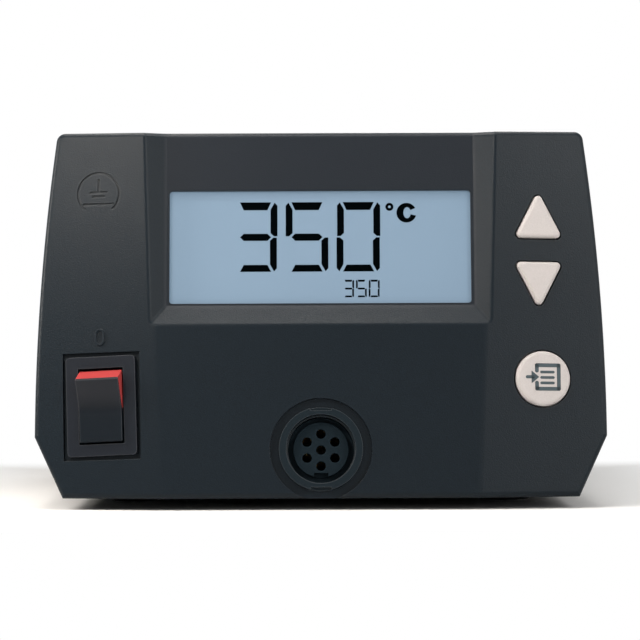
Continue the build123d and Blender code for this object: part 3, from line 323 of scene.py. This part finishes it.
def relief(finish, height, depth, rounded=None):
    """Turns a height from 0 to 1 into a bump of a real depth."""
    values = {"Height": height, "Distance": depth, "Strength": 1.0}
    if rounded:
        values["Normal"] = rounded
    finish.feed(finish.surface, {"Normal": finish.add("Bump", {}, values)})


def shade(colour, amount):
    """A colour made darker or lighter."""
    return tuple(min(1.0, channel * amount) for channel in colour[:3]) + (1.0,)


finishes = {}


def stock(recipe, **kinds):
    """Makes finishes by one recipe, each under the name that the record of the model gives it."""
    for name, values in kinds.items():
        finishes[name] = recipe(name, **values)
    print("made", ", ".join(kinds))


print("the shelf holds", len(finishes), "finishes")

# %% [markdown]
# ## Moulded plastic
# The case is injection moulded in a mould whose steel was spark eroded, which leaves a fine, even grain
# and a dull, soft sheen. One function makes every plastic of the unit, and its values tell them apart:
# the size and depth of the grain, how much the colour follows it (mottle), how dull the surface is
# (rough) and how strongly it mirrors (gloss), and at the edges how much lighter the colour is painted,
# partly as the rubbing of hands and partly as a painted highlight (wear_and_sheen), how much shinier
# it is (polish) and how far in that goes (reach). A second, paler colour can be painted on one place of
# the part (painted_paler); on the rocker that is a painted highlight.

# %% A recipe for moulded plastic
edge_radius = 0.25 * mm
cloud_size = 12 * mm
cloud_share, cloud_light = 0.35, 1.25
# the share of their lighter colour that edges take: partly wear and partly a painted highlight
wear_and_sheen_share = 0.6
grain_dulls, wear_smooths, cloud_smooths = 0.12, 0.1, 0.04


def moulded(name, colour, grain=0.25 * mm, depth=0.012 * mm, mottle=0.14, rough=0.30, gloss=0.14, wear_and_sheen=1.5,
            polish=0.0, reach=0.7 * mm, painted_paler=None):
    """Plastic with mould grain, faint clouds and polished edges painted lighter, as wear and as a
    highlight;
    painted_paler is a place and the paler colour painted there.
    """
    finish = Finish(name, Specular_IOR_Level=gloss, Coat_Roughness=0.3)
    fine = speckle(finish, grain)
    cloud = speckle(finish, cloud_size, detail=3.0)
    wear_and_sheen_mask, rounded = edges(finish, edge_radius, reach)
    mottled = tint(finish, fine, shade(colour, 1 - mottle), shade(colour, 1 + mottle))
    base_tone = tint(finish, cloud * cloud_share, mottled, shade(colour, cloud_light))
    # a paler colour painted on one place of the part; on the rocker it is a painted highlight
    if painted_paler:
        where, pale = painted_paler
        base_tone = tint(finish, where(finish), base_tone, shade(pale, 1))
    # the edges are painted lighter, partly as wear and partly as a painted highlight of the edge
    finish.feed(finish.surface, {
        "Base Color": tint(finish, wear_and_sheen_mask * wear_and_sheen_share, base_tone, shade(colour, wear_and_sheen)),
        "Roughness": rough + grain_dulls * fine - wear_smooths * wear_and_sheen_mask - cloud_smooths * cloud,
        "Coat Weight": wear_and_sheen_mask * polish,
    })
    relief(finish, fine, depth, rounded)
    return finish.material


print("recipe ready:", moulded.__name__)

# %% [markdown]
# ## The case and its front
# Cover, tray and fascia come from different moulds, so their grain and their black differ a little. The
# floor of the pocket round the display is painted a paler colour than the rest of the front. Such a place
# could be painted by hand, but it is safer to measure it: the floor is flat and lies a known height over
# the display's glass, so a distance along the glass's own direction finds it, and the foremost flat face
# of a part gives that direction.

# %% Housing, fascia and rear panel
facing_front, same_way, same_level = -0.9, 0.99999, 0.01 * mm


def flat_front(node):
    """Middle and outward direction of the foremost flat face of a part."""
    facing = [face for face in nodes[node].data.polygons if face.normal.y < facing_front]
    outward = max(facing, key=lambda face: face.area).normal.copy()
    flat = [face for face in facing if face.normal.dot(outward) > same_way]
    level = max(face.center.dot(outward) for face in flat)
    flat = [face for face in flat if face.center.dot(outward) > level - same_level]
    area = sum(face.area for face in flat)
    return sum((face.center * face.area for face in flat), Vector()) / area, outward


glass_middle, glass_outward = flat_front("display_glass")
floor_over_glass = 1.05 * mm
off_floor, on_floor = 0.5 * mm, 0.2 * mm
outside_pocket, inside_pocket = 36 * mm, 34 * mm
under_pocket, above_sill = 34 * mm, 36 * mm


def pocket_floor(finish):
    """1 on the floor round the display, which is painted a paler colour."""
    height = dot(finish, place_on(finish), glass_outward)
    off = abs(height - (glass_middle.dot(glass_outward) + floor_over_glass))
    near = rise(off, off_floor, on_floor)
    within = rise(abs(place_on(finish, "X")), outside_pocket, inside_pocket)
    return near * within * rise(place_on(finish, "Z"), under_pocket, above_sill)


stock(
    moulded,
    housing_plastic=dict(
        colour=(0.0058, 0.0090, 0.0125), depth=0.03 * mm, mottle=0.6, rough=0.5, gloss=0.10, wear_and_sheen=1.2,
        polish=0.1),
    # the floor of the pocket is painted a paler colour than the rest of the fascia
    fascia_plastic=dict(
        colour=(0.0040, 0.0076, 0.0112), depth=0.035 * mm, mottle=0.7, wear_and_sheen=1.2, polish=0.1,
        painted_paler=(pocket_floor, (0.0110, 0.0140, 0.0185))),
    panel_plastic=dict(colour=(0.017, 0.018, 0.020), grain=0.4 * mm),
)

# %% [markdown]
# ## The switch, the keys and the socket
# These are small hard mouldings from other makers. The rocker is black over a red core that shows at its
# upper end while the unit is on, and its upper half is painted lighter by a slow rise along Z, a painted
# highlight of the light from above. The keys are a warm pale grey, nearly free of gloss. The socket's
# shell is glossy along its edges, and its insert is a dull, brittle resin that stands the heat of soldered
# contacts.

# %% Rocker, keys and socket
rocker_low, rocker_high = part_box("rocker_face")
highlight_below, highlight_above = 2 * mm, 5 * mm


def rocker_painted_highlight(finish):
    """Rises from 0 to 1 towards the upper end of the rocker, where a highlight is painted lighter."""
    middle = (rocker_low.z + rocker_high.z) / 2
    return rise(place_on(finish, "Z"), middle - highlight_below, middle + highlight_above, "SMOOTHSTEP")


stock(
    moulded,
    switch_black=dict(colour=(0.006, 0.008, 0.012), mottle=0.5, rough=0.36, polish=0.8, reach=0.4 * mm),
    # the rocker's upper half gets a painted highlight, a paler colour that rises along Z
    rocker_black=dict(
        colour=(0.0030, 0.0055, 0.0085), grain=0.2 * mm, mottle=0.5, rough=0.36, gloss=0.11, polish=0.8,
        reach=0.4 * mm, painted_paler=(rocker_painted_highlight, (0.0150, 0.0165, 0.0205))),
    rocker_red=dict(colour=(0.36, 0.043, 0.043), grain=0.5 * mm, rough=0.35, wear_and_sheen=1.2),
    key_plastic=dict(colour=(0.452, 0.420, 0.410), rough=0.45, gloss=0.25, wear_and_sheen=1.12),
    socket_black=dict(
        colour=(0.0030, 0.0075, 0.0110), grain=0.2 * mm, rough=0.40, polish=0.9, reach=0.3 * mm),
    insert_black=dict(colour=(0.0055, 0.0120, 0.0170), grain=0.2 * mm, rough=0.6, gloss=0.1),
)

# %% [markdown]
# ## Plastics at the back, below and inside
# The mains inlet, the chips, the transformer's bobbin, the terminal block, the feet and the sleeves are
# hardly seen, yet the case can be opened in another scene. They use the same recipe with their own usual
# colours: black for chips and rubber, ivory nylon for the bobbin, green for the terminals and dark blue
# shrink film for the capacitors.

# %% Hidden plastics
stock(
    moulded,
    inlet_black=dict(colour=(0.015, 0.015, 0.016), grain=0.3 * mm, rough=0.4),
    chip_black=dict(colour=(0.015, 0.015, 0.015), grain=0.1 * mm, rough=0.6),
    bobbin_plastic=dict(colour=(0.60, 0.57, 0.48), grain=0.4 * mm, wear_and_sheen=1.1),
    terminal_green=dict(colour=(0.04, 0.26, 0.10), grain=0.4 * mm, rough=0.4),
    foot_rubber=dict(colour=(0.014, 0.014, 0.014), grain=0.5 * mm, rough=0.8, gloss=0.2),
    capacitor_sleeve=dict(colour=(0.025, 0.045, 0.13), grain=1.5 * mm, rough=0.25, gloss=0.5),
    lead_sleeve=dict(colour=(0.05, 0.05, 0.055), grain=0.8 * mm, rough=0.45),
)

# %% [markdown]
# ## Metals
# Screws and brackets are zinc plated, the bonding socket is nickel plated, contacts are brass and the
# heat sink is extruded aluminium. All of them need Metallic at 1 and a streaked roughness: a noise that
# is squeezed along one axis looks like the marks of drawing or brushing.

# %% A recipe for metal
patch_size = 5 * mm
metal_edge_radius = 0.2 * mm
dull_light, bright_light = 0.8, 1.05
metal_worn_share, metal_worn_light = 0.5, 1.25
streak_dulls, patch_dulls = 0.16, 0.06
streak_depth = 0.004 * mm


def metal(name, colour, rough=0.35, streak=(1, 1, 12), size=0.8 * mm):
    """Metal with fine streaks, dull patches and brighter edges."""
    finish = Finish(name, Metallic=1.0)
    streaks = speckle(finish, size, detail=3.0, stretch=streak)
    patch = speckle(finish, patch_size)
    wear_and_sheen_mask, rounded = edges(finish, metal_edge_radius)
    dull = tint(finish, patch, shade(colour, dull_light), shade(colour, bright_light))
    bright = shade(colour, metal_worn_light)
    finish.feed(finish.surface, {
        "Base Color": tint(finish, wear_and_sheen_mask * metal_worn_share, dull, bright),
        "Roughness": rough - streak_dulls / 2 + streak_dulls * streaks + patch_dulls * patch,
    })
    relief(finish, streaks, streak_depth, rounded)
    return finish.material


stock(
    metal,
    screw_steel=dict(colour=(0.58, 0.58, 0.56)),
    spring_steel=dict(colour=(0.46, 0.46, 0.47), streak=(12, 1, 1)),
    bracket_steel=dict(colour=(0.54, 0.55, 0.56), rough=0.42),
    contact_brass=dict(colour=(0.72, 0.55, 0.26), rough=0.3, streak=(1, 8, 1)),
    heat_sink_aluminium=dict(colour=(0.32, 0.32, 0.34), rough=0.5, streak=(8, 8, 1)),
    bond_metal=dict(colour=(0.66, 0.65, 0.62), rough=0.22, streak=(1, 10, 1), size=0.4 * mm),
)

# %% [markdown]
# ## Windings and laminations
# The transformer's core is a stack of thin sheets and its windings are layers of enamelled wire. Both are
# rows of fine ridges. They could be modelled one by one, but at half a millimetre the Wave node draws
# them just as well. Its bands repeat every pi / 10 divided by its Scale, which gives the scale for a
# pitch.

# %% Ridged finishes
wave_period = pi / 10
ridge_share, wire_patch_share = 0.8, 0.2
wire_patch_size, wire_patch_dulls = 3 * mm, 0.15


def ridged(name, colour, pitch, axis, depth, rough, metallic, gap_colour):
    """Rows of ridges at a pitch along one axis."""
    finish = Finish(name, Metallic=metallic)
    rows = finish.add(
        "TexWave", {"bands_direction": axis},
        {"Vector": place_on(finish), "Scale": wave_period / pitch, "Distortion": 0.3, "Detail": 1.0},
    )
    patch = speckle(finish, wire_patch_size)
    share = rows * ridge_share + wire_patch_share * patch
    finish.feed(finish.surface, {
        "Base Color": tint(finish, share, shade(gap_colour, 1), shade(colour, 1)),
        "Roughness": rough + wire_patch_dulls * patch,
    })
    relief(finish, rows, depth)
    return finish.material


stock(
    ridged,
    core_steel=dict(
        colour=(0.16, 0.16, 0.17), pitch=0.5 * mm, axis="Y", depth=0.06 * mm, rough=0.4, metallic=0.8,
        gap_colour=(0.03, 0.03, 0.035)),
    winding_wire=dict(
        colour=(0.62, 0.26, 0.10), pitch=0.6 * mm, axis="Z", depth=0.2 * mm, rough=0.28, metallic=0.7,
        gap_colour=(0.10, 0.03, 0.015)),
)

# %% [markdown]
# ## Circuit boards
# A board is green lacquer over copper tracks, which show as slightly raised, lighter lines. The Brick
# node's joints run straight and branch at right angles, as tracks do, so its joints are the tracks.

# %% A recipe for circuit boards
pool_size, pool_dulls = 6 * mm, 0.15
track_share, pool_share = 0.7, 0.2


def lacquered(name, lacquer, track, scale, depth):
    """A lacquered board with raised tracks; a larger scale packs them closer."""
    board = Finish(name)
    tracks = board.add(
        "TexBrick", {"offset": 0.37, "squash": 0.6, "squash_frequency": 3},
        {"Vector": place_on(board), "Scale": scale, "Mortar Size": 0.05, "Mortar Smooth": 0.2,
         "Row Height": 0.25},
        out="Fac",
    )
    pooled = speckle(board, pool_size)
    share = tracks * track_share + pooled * pool_share
    board.feed(board.surface, {
        "Base Color": tint(board, share, shade(lacquer, 1), shade(track, 1)),
        "Roughness": 0.3 + pool_dulls * pooled,
    })
    relief(board, tracks, depth)
    return board.material


stock(lacquered, circuit_board=dict(
    lacquer=(0.02, 0.12, 0.05), track=(0.07, 0.27, 0.12), scale=120.0, depth=0.03 * mm))

# %% [markdown]
# ## Display glass and back light
# The display is a matt glass in front of a light panel. Seen from the front it is one even pale blue, so
# the glass is given that colour itself, with a faint fine frosting, and no look through it is needed. It
# also glows a little in that colour, because a lit display stays even where a lamp's light on it
# wouldn't. The back light behind it is milky.

# %% Frosted finishes
haze_size, drift_size = 0.15 * mm, 25 * mm
haze_share, drift_share, haze_dulls = 0.3, 0.4, 0.1
milk_dark, milk_light = 0.97, 1.03
haze_depth = 0.002 * mm


def frosted(name, colour, rough, glow):
    """A milky, faintly uneven panel."""
    finish = Finish(name, Specular_IOR_Level=0.15, Emission_Strength=glow)
    haze = speckle(finish, haze_size)
    drift = speckle(finish, drift_size)
    share = haze_share * haze + drift_share * drift
    hue = tint(finish, share, shade(colour, milk_dark), shade(colour, milk_light))
    finish.feed(finish.surface, {
        "Base Color": hue, "Emission Color": hue, "Roughness": rough + haze_dulls * haze})
    relief(finish, haze, haze_depth)
    return finish.material


stock(
    frosted,
    display_glass=dict(colour=(0.106, 0.152, 0.203), rough=0.6, glow=1.0),
    backlight=dict(colour=(0.62, 0.70, 0.76), rough=0.6, glow=0.1),
)

# %% [markdown]
# ## Fuse glass
# The little fuses are clear glass tubes. Real refraction through such a thin wall is slow and hardly
# shows, so Alpha lets the eye through, most where the glass is seen square on and least at its rim.

# %% Clear glass
ripple_size, ripple_depth = 2 * mm, 0.01 * mm


def clear_glass(name, colour, least, rim_share):
    """Glass that is seen through in the middle and less at its rim."""
    glass = Finish(name, Roughness=0.08, Base_Color=shade(colour, 1))
    rim = glass.add("LayerWeight", {}, {"Blend": 0.4}, out="Facing")
    glass.feed(glass.surface, {"Alpha": least + rim_share * rim})
    relief(glass, speckle(glass, ripple_size), ripple_depth)
    return glass.material


stock(clear_glass, fuse_glass=dict(colour=(0.85, 0.9, 0.9), least=0.25, rim_share=0.6))

# %% [markdown]
# ## Dressing the CAD parts
# The record of the model names a finish for each part. Every CAD part keeps its own mesh, and only the
# material in its slot is changed.

# %% Each part gets its finish
for part in frame["record"]["subparts"]:
    skin = nodes[part["node"]].data
    skin.materials.clear()
    skin.materials.append(finishes[part["material_slot"]])

# %% [markdown]
# ## Tools for flat pieces
# Blender's operators act on whatever is selected, so the first tools select with care: whole pieces, or
# only the wanted faces or edges of one. The third puts a piece's place and turn into its mesh, because a
# finished piece's object sits at the origin, as every CAD part's does.

# %% Selecting and settling
def choose(*pieces):
    """Selects only these pieces, the first one active."""
    bpy.ops.object.select_all(action="DESELECT")
    for piece in pieces:
        piece.select_set(True)
    bpy.context.view_layer.objects.active = pieces[0]


def pick(piece, kind, wanted):
    """Enters edit mode with only the wanted faces or edges selected."""
    choose(piece)
    bpy.ops.object.mode_set(mode="EDIT")
    bpy.ops.mesh.select_mode(type=kind)
    bpy.ops.mesh.select_all(action="DESELECT")
    bpy.ops.object.mode_set(mode="OBJECT")
    for part in piece.data.polygons if kind == "FACE" else piece.data.edges:
        part.select = wanted(part)
    bpy.ops.object.mode_set(mode="EDIT")


def settle():
    """Puts the place, turn and size of what is selected into its mesh."""
    bpy.ops.object.transform_apply(location=True, rotation=True, scale=True)


print("tools:", choose.__name__, pick.__name__, settle.__name__)

# %% [markdown]
# ## The figures on the display
# A display of this kind shows each figure with seven bars, and its maker cuts the bars with slanted ends
# so that a thin line of light stays between them. They lie on the glass as a film of ink. A bar is a flat
# box whose corners are cut off with Bisect, which is how a sign maker would trim a strip. The figures are
# built lying flat at the origin and are then laid on the glass.

# %% A strip that can be trimmed
ink = 0.03 * mm


def plate(name, left, right, low, high):
    """A strip of ink film between four edges, given in millimetres."""
    bpy.ops.object.select_all(action="DESELECT")
    bpy.ops.mesh.primitive_cube_add(
        size=1, location=((left + right) / 2 * mm, (low + high) / 2 * mm, 0),
        scale=((right - left) * mm, (high - low) * mm, ink),
    )
    piece = bpy.context.active_object
    piece.name = piece.data.name = name
    settle()
    return piece


def trim(piece, *cuts):
    """Cuts along lines, each from a start to an end, and drops what lies to the right of each."""
    choose(piece)
    bpy.ops.object.mode_set(mode="EDIT")
    for start, end in cuts:
        away = Vector((end[1] - start[1], start[0] - end[0], 0)).normalized()
        bpy.ops.mesh.select_all(action="SELECT")
        bpy.ops.mesh.bisect(
            plane_co=Vector((*start, 0)) * mm, plane_no=away, use_fill=True, clear_outer=True)
    bpy.ops.object.mode_set(mode="OBJECT")
    return piece


def moved(piece, across, up):
    """Moves a flat piece by millimetres."""
    choose(piece)
    bpy.ops.transform.translate(value=(across * mm, up * mm, 0))
    settle()
    return piece


print("strips of", round(ink / mm, 3), "mm")

# %% [markdown]
# ## The shapes of the bars
# Only four bars are shaped, the top one, the foot, the middle one and one upright: turning the upright
# over gives the other three. Each is drawn on the figure's own middle, in millimetres. The top and foot
# bars are wider outside than inside, the middle bar is pointed at both ends, and the upright's ends are
# cut to leave an even gap to its neighbours.

# %% The seven bars of a figure
half_tall, half_wide = 7.77, 4.75
bar_end, bar_foot = 3.42, 2.60
top_inside, foot_inside = 6.0, -6.25
middle_low, middle_tip, middle_high = -0.86, -0.07, 0.72
upright_inside, upright_low, upright_high = 3.24, 0.16, 7.7
head_outside, head_top, head_inside = (half_wide, 7.0), (4.13, upright_high), (upright_inside, 6.1)
heel_inside, heel_low = (upright_inside, 0.85), (4.0, upright_low)

top_bar = trim(plate("top_bar", -bar_end, bar_end, top_inside, half_tall),
               ((bar_foot, top_inside), (bar_end, half_tall)),
               ((-bar_end, half_tall), (-bar_foot, top_inside)))
foot_bar = trim(plate("foot_bar", -bar_end, bar_end, -half_tall, foot_inside),
                ((bar_end, -half_tall), (bar_foot, foot_inside)),
                ((-bar_foot, foot_inside), (-bar_end, -half_tall)))
middle_bar = trim(plate("middle_bar", -bar_end, bar_end, middle_low, middle_high),
                  ((bar_foot, middle_low), (bar_end, middle_tip)),
                  ((bar_end, middle_tip), (bar_foot, middle_high)),
                  ((-bar_foot, middle_high), (-bar_end, middle_tip)),
                  ((-bar_end, middle_tip), (-bar_foot, middle_low)))
upright = trim(plate("upright", upright_inside, half_wide, upright_low, upright_high),
               (head_outside, head_top), (head_top, head_inside), (heel_inside, heel_low))
print([len(piece.data.vertices) for piece in (top_bar, foot_bar, middle_bar, upright)], "corners")

# %% [markdown]
# ## Seven bars from four
# Each other upright is a copy that is turned half way round: about X for the one below, about Y for the
# one on the left. On a real display the figures slant a little, so the upper uprights are moved a hair to
# the right and the lower ones to the left.

# %% Copies make the other uprights
def copy_of(piece, turn_about=None):
    """A copy with its own mesh, turned half way round an axis through the origin if one is named."""
    choose(piece)
    bpy.ops.object.duplicate()
    copy = bpy.context.active_object
    if turn_about:
        bpy.ops.transform.rotate(value=pi, orient_axis=turn_about, center_override=(0, 0, 0))
        settle()
    return copy


slant = 0.07
bars = {"top": top_bar, "foot": foot_bar, "middle": middle_bar, "upper_right": upright}
bars["lower_right"] = copy_of(upright, "X")
bars["upper_left"] = copy_of(upright, "Y")
bars["lower_left"] = copy_of(bars["upper_left"], "X")
for name, piece in bars.items():
    moved(piece, across=slant * ("upper" in name) - slant * ("lower" in name), up=0)
print(len(bars), "bars")

# %% [markdown]
# ## Three figures, two rows
# A lit figure is only a choice among its seven bars, so each figure copies what it needs from the set.
# The large reading and the small setting under it are the same figures at two sizes. A row is joined into
# one piece, and the set of bars is thrown away when both rows are made.

# %% Two rows of figures
lit = {
    "3": ("top", "upper_right", "middle", "lower_right", "foot"),
    "5": ("top", "upper_left", "middle", "lower_right", "foot"),
    "0": ("top", "upper_left", "upper_right", "lower_left", "lower_right", "foot"),
}


def row_of(name, figures, pitch, size, middle):
    """Figures in a row, as one piece; middle is the place of the middle figure."""
    pieces = []
    for place, figure in enumerate(figures):
        choose(*[copy_of(bars[bar]) for bar in lit[figure]])
        bpy.ops.object.join()
        bpy.ops.transform.resize(value=(size, size, 1), center_override=(0, 0, 0))
        along = (place - (len(figures) - 1) / 2) * pitch
        pieces.append(moved(bpy.context.active_object, middle[0] + along, middle[1]))
    choose(*pieces)
    bpy.ops.object.join()
    row = bpy.context.active_object
    row.name = row.data.name = name
    return row


reading = row_of("reading_figures", "350", pitch=11.32, size=1.0, middle=(-2.89, 2.39))
setting = row_of("setting_figures", "350", pitch=2.81, size=0.25, middle=(9.01, -9.18))
choose(*bars.values())
bpy.ops.object.delete()
print(reading.name, len(reading.data.polygons), "faces;", setting.name, len(setting.data.polygons), "faces")

# %% [markdown]
# ## The degree sign
# A small ring and a bold C tell the unit of the reading. Both start as a flat round bar: its two ends are
# inset, and Bridge joins the inset faces into a hole. The C's hole is taller than wide and sits to the
# right, which makes the back of the letter bold. Then its mouth is cut out and the cut ends are closed.

# %% Ring and letter
round_steps = 64
lies_flat = 0.9


def washer(name, radius, wall, hole=(1, 1, 1), aside=0.0):
    """A flat round bar with a hole, made by inset and bridge."""
    bpy.ops.object.select_all(action="DESELECT")
    bpy.ops.mesh.primitive_cylinder_add(vertices=round_steps, radius=radius * mm, depth=ink)
    piece = bpy.context.active_object
    piece.name = piece.data.name = name
    pick(piece, "FACE", lambda face: abs(face.normal.z) > lies_flat)
    bpy.ops.mesh.inset(thickness=wall * mm)
    bpy.ops.transform.resize(value=hole, center_override=(0, 0, 0))
    bpy.ops.transform.translate(value=(aside * mm, 0, 0))
    bpy.ops.mesh.bridge_edge_loops()
    bpy.ops.object.mode_set(mode="OBJECT")
    return piece


ring = moved(washer("degree_ring", radius=0.89, wall=0.59), across=15.30, up=9.05)
letter = washer("degree_letter", radius=2.2, wall=1.2, hole=(0.82, 1.24, 1), aside=0.13)
mouth_low, mouth_high = radians(-20), radians(28)
pick(letter, "FACE", lambda face: mouth_low < atan2(face.center.y, face.center.x) < mouth_high)
bpy.ops.mesh.delete(type="FACE")
bpy.ops.mesh.select_all(action="SELECT")
bpy.ops.mesh.fill_holes(sides=4)
bpy.ops.mesh.normals_make_consistent(inside=False)
bpy.ops.object.mode_set(mode="OBJECT")
choose(moved(letter, across=19.05, up=7.72), ring)
bpy.ops.object.join()
degree_sign = bpy.context.active_object
degree_sign.name = degree_sign.data.name = "degree_sign"
print("degree sign", len(degree_sign.data.polygons), "faces")

# %% [markdown]
# ## Strokes of a pen
# The round menu key carries a printed sign. A pen would draw it in strokes with round ends, so each
# stroke here is a strip whose four standing corners are rounded by Bevel, to just under half of its
# width.

# %% Pen strokes
def soften(piece, radius):
    """Rounds the standing corners of a flat piece."""
    corners = piece.data.vertices

    def stands(edge):
        start, end = (corners[index].co for index in edge.vertices)
        return abs(start.z - end.z) > ink / 2

    pick(piece, "EDGE", stands)
    bpy.ops.mesh.bevel(offset=radius * mm, segments=6, affect="EDGES")
    bpy.ops.object.mode_set(mode="OBJECT")


nearly_round = 0.98


def stroke(start, end, width):
    """A straight stroke with round ends, along the width or the height of the sign."""
    low = [min(a, b) - width / 2 for a, b in zip(start, end)]
    high = [max(a, b) + width / 2 for a, b in zip(start, end)]
    piece = plate("stroke", low[0], high[0], low[1], high[1])
    soften(piece, width / 2 * nearly_round)
    return piece


print("stroke ends are rounded to", nearly_round, "of half their width")

# %% [markdown]
# ## The sign on the menu key
# The sign is a page with three lines and an arrow that points into it. The strokes overlap at the page's
# corners, as the pen's would, and its left side is open in the middle, where the arrow comes in. The
# arrow's head is a strip that two cuts turn into a triangle.

# %% A page and an arrow
pen, shaft_pen, thin_pen = 0.84, 0.70, 0.60
page_left, page_right, page_low, page_high = -1.53, 3.33, -2.31, 2.83
stub_up, stub_down = 1.3, 1.2
line_left, line_right, line_heights = -0.5, 2.12, (1.35, 0.16, -1.03)
shaft_left, shaft_right, shaft_height = -3.65, -2.3, 0.27
head_back, head_tip, head_low, head_middle, head_high = -2.72, -1.0, -1.15, 0.26, 1.67
head_corner = 0.2

strokes = [
    stroke((page_left, page_high), (page_right, page_high), pen),
    stroke((page_right, page_low), (page_right, page_high), pen),
    stroke((page_left, page_low), (page_right, page_low), pen),
    stroke((page_left, page_high), (page_left, page_high - stub_down), pen),
    stroke((page_left, page_low), (page_left, page_low + stub_up), pen),
    stroke((shaft_left, shaft_height), (shaft_right, shaft_height), shaft_pen),
]
strokes += [stroke((line_left, height), (line_right, height), thin_pen) for height in line_heights]
arrow_head = trim(plate("stroke", head_back, head_tip, head_low, head_high),
                  ((head_back, head_low), (head_tip, head_middle)),
                  ((head_tip, head_middle), (head_back, head_high)))
soften(arrow_head, head_corner)
choose(*strokes, arrow_head)
bpy.ops.object.join()
menu_sign = bpy.context.active_object
menu_sign.name = menu_sign.data.name = "menu_sign"
print("menu sign", len(menu_sign.data.polygons), "faces")

# %% [markdown]
# ## From the table to the object
# Print was made flat, at the origin, and now each piece is turned to the face that carries it. The face's
# middle and direction are measured on the CAD part, so nothing is placed by eye. The film is lifted by a
# little less than half its thickness, so its lower side sinks a hair into the face and no gap shows. The
# sign rides on the menu key and moves with it, and the figures ride on the housing. Display ink is a dead
# black, and printed ink is a dull dark grey.

# %% Laying the film on its parts
film_lift = 0.45


def lay_on(piece, middle, outward, body, finish, slot):
    """Turns a flat piece to a face, sinks it a hair into it and lets it ride on a body."""
    across = (Vector((1, 0, 0)) - outward * outward.x).normalized()
    axes = Matrix((across, outward.cross(across), outward)).transposed().to_4x4()
    choose(piece)
    piece.matrix_world = Matrix.Translation(middle + outward * ink * film_lift) @ axes
    settle()
    piece.data.materials.clear()
    piece.data.materials.append(finish)
    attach(piece, body)


segment_ink = moulded("segment_ink", (0.0006, 0.0012, 0.0016), grain=0.3 * mm, rough=0.6, gloss=0.0)
sign_ink = moulded("sign_ink", (0.060, 0.080, 0.090), grain=0.2 * mm, rough=0.6, gloss=0.1)
for piece in (reading, setting, degree_sign):
    lay_on(piece, glass_middle, glass_outward, "housing", segment_ink, "chip_black")
lay_on(menu_sign, *flat_front("menu_button"), "menu_key", sign_ink, "socket_black")
print("glass at", [round(v / mm, 2) for v in glass_middle])

# %% [markdown]
# ## The floor
# A sheet of matt white paper, as on a studio table. It takes the unit's shadow close by. Further away it
# would turn grey where the lamps don't reach, so there it gives off the background's own white, but only
# to a look: the rays that carry light still meet plain paper.

# %% A paper floor that fades into the background
floor_size, floor_behind = 2.4, 0.3
fade_start, fade_end = -5 * mm, 60 * mm
paper_dark, paper_light = (0.88, 0.88, 0.88), (0.90, 0.90, 0.90)
bpy.ops.object.select_all(action="DESELECT")
bpy.ops.mesh.primitive_plane_add(size=floor_size, location=(0, floor_behind, 0))
floor = bpy.context.active_object
floor.name = "studio_floor"
bpy.ops.object.transform_apply(location=True)
ground = Finish("studio_floor", Roughness=0.9, Specular_IOR_Level=0.0)
dust = speckle(ground, 3 * mm)
ground.feed(ground.surface, {"Base Color": tint(ground, dust, shade(paper_dark, 1), shade(paper_light, 1))})
beside = abs(place_on(ground, "X")) - cad_high.x
behind = abs(place_on(ground, "Y")) - cad_high.y
far = rise(beside | behind, fade_start, fade_end, "SMOOTHSTEP")
bright = ground.add("Emission", {}, {"Strength": 1.0})
mixed = ground.add("MixShader", {}, {0: far * on_a_look(ground), 1: ground.shine, 2: bright})
ground.feed(ground.shown, {"Surface": mixed})
floor.data.materials.append(ground.material)
print("floor", floor_size, "m")
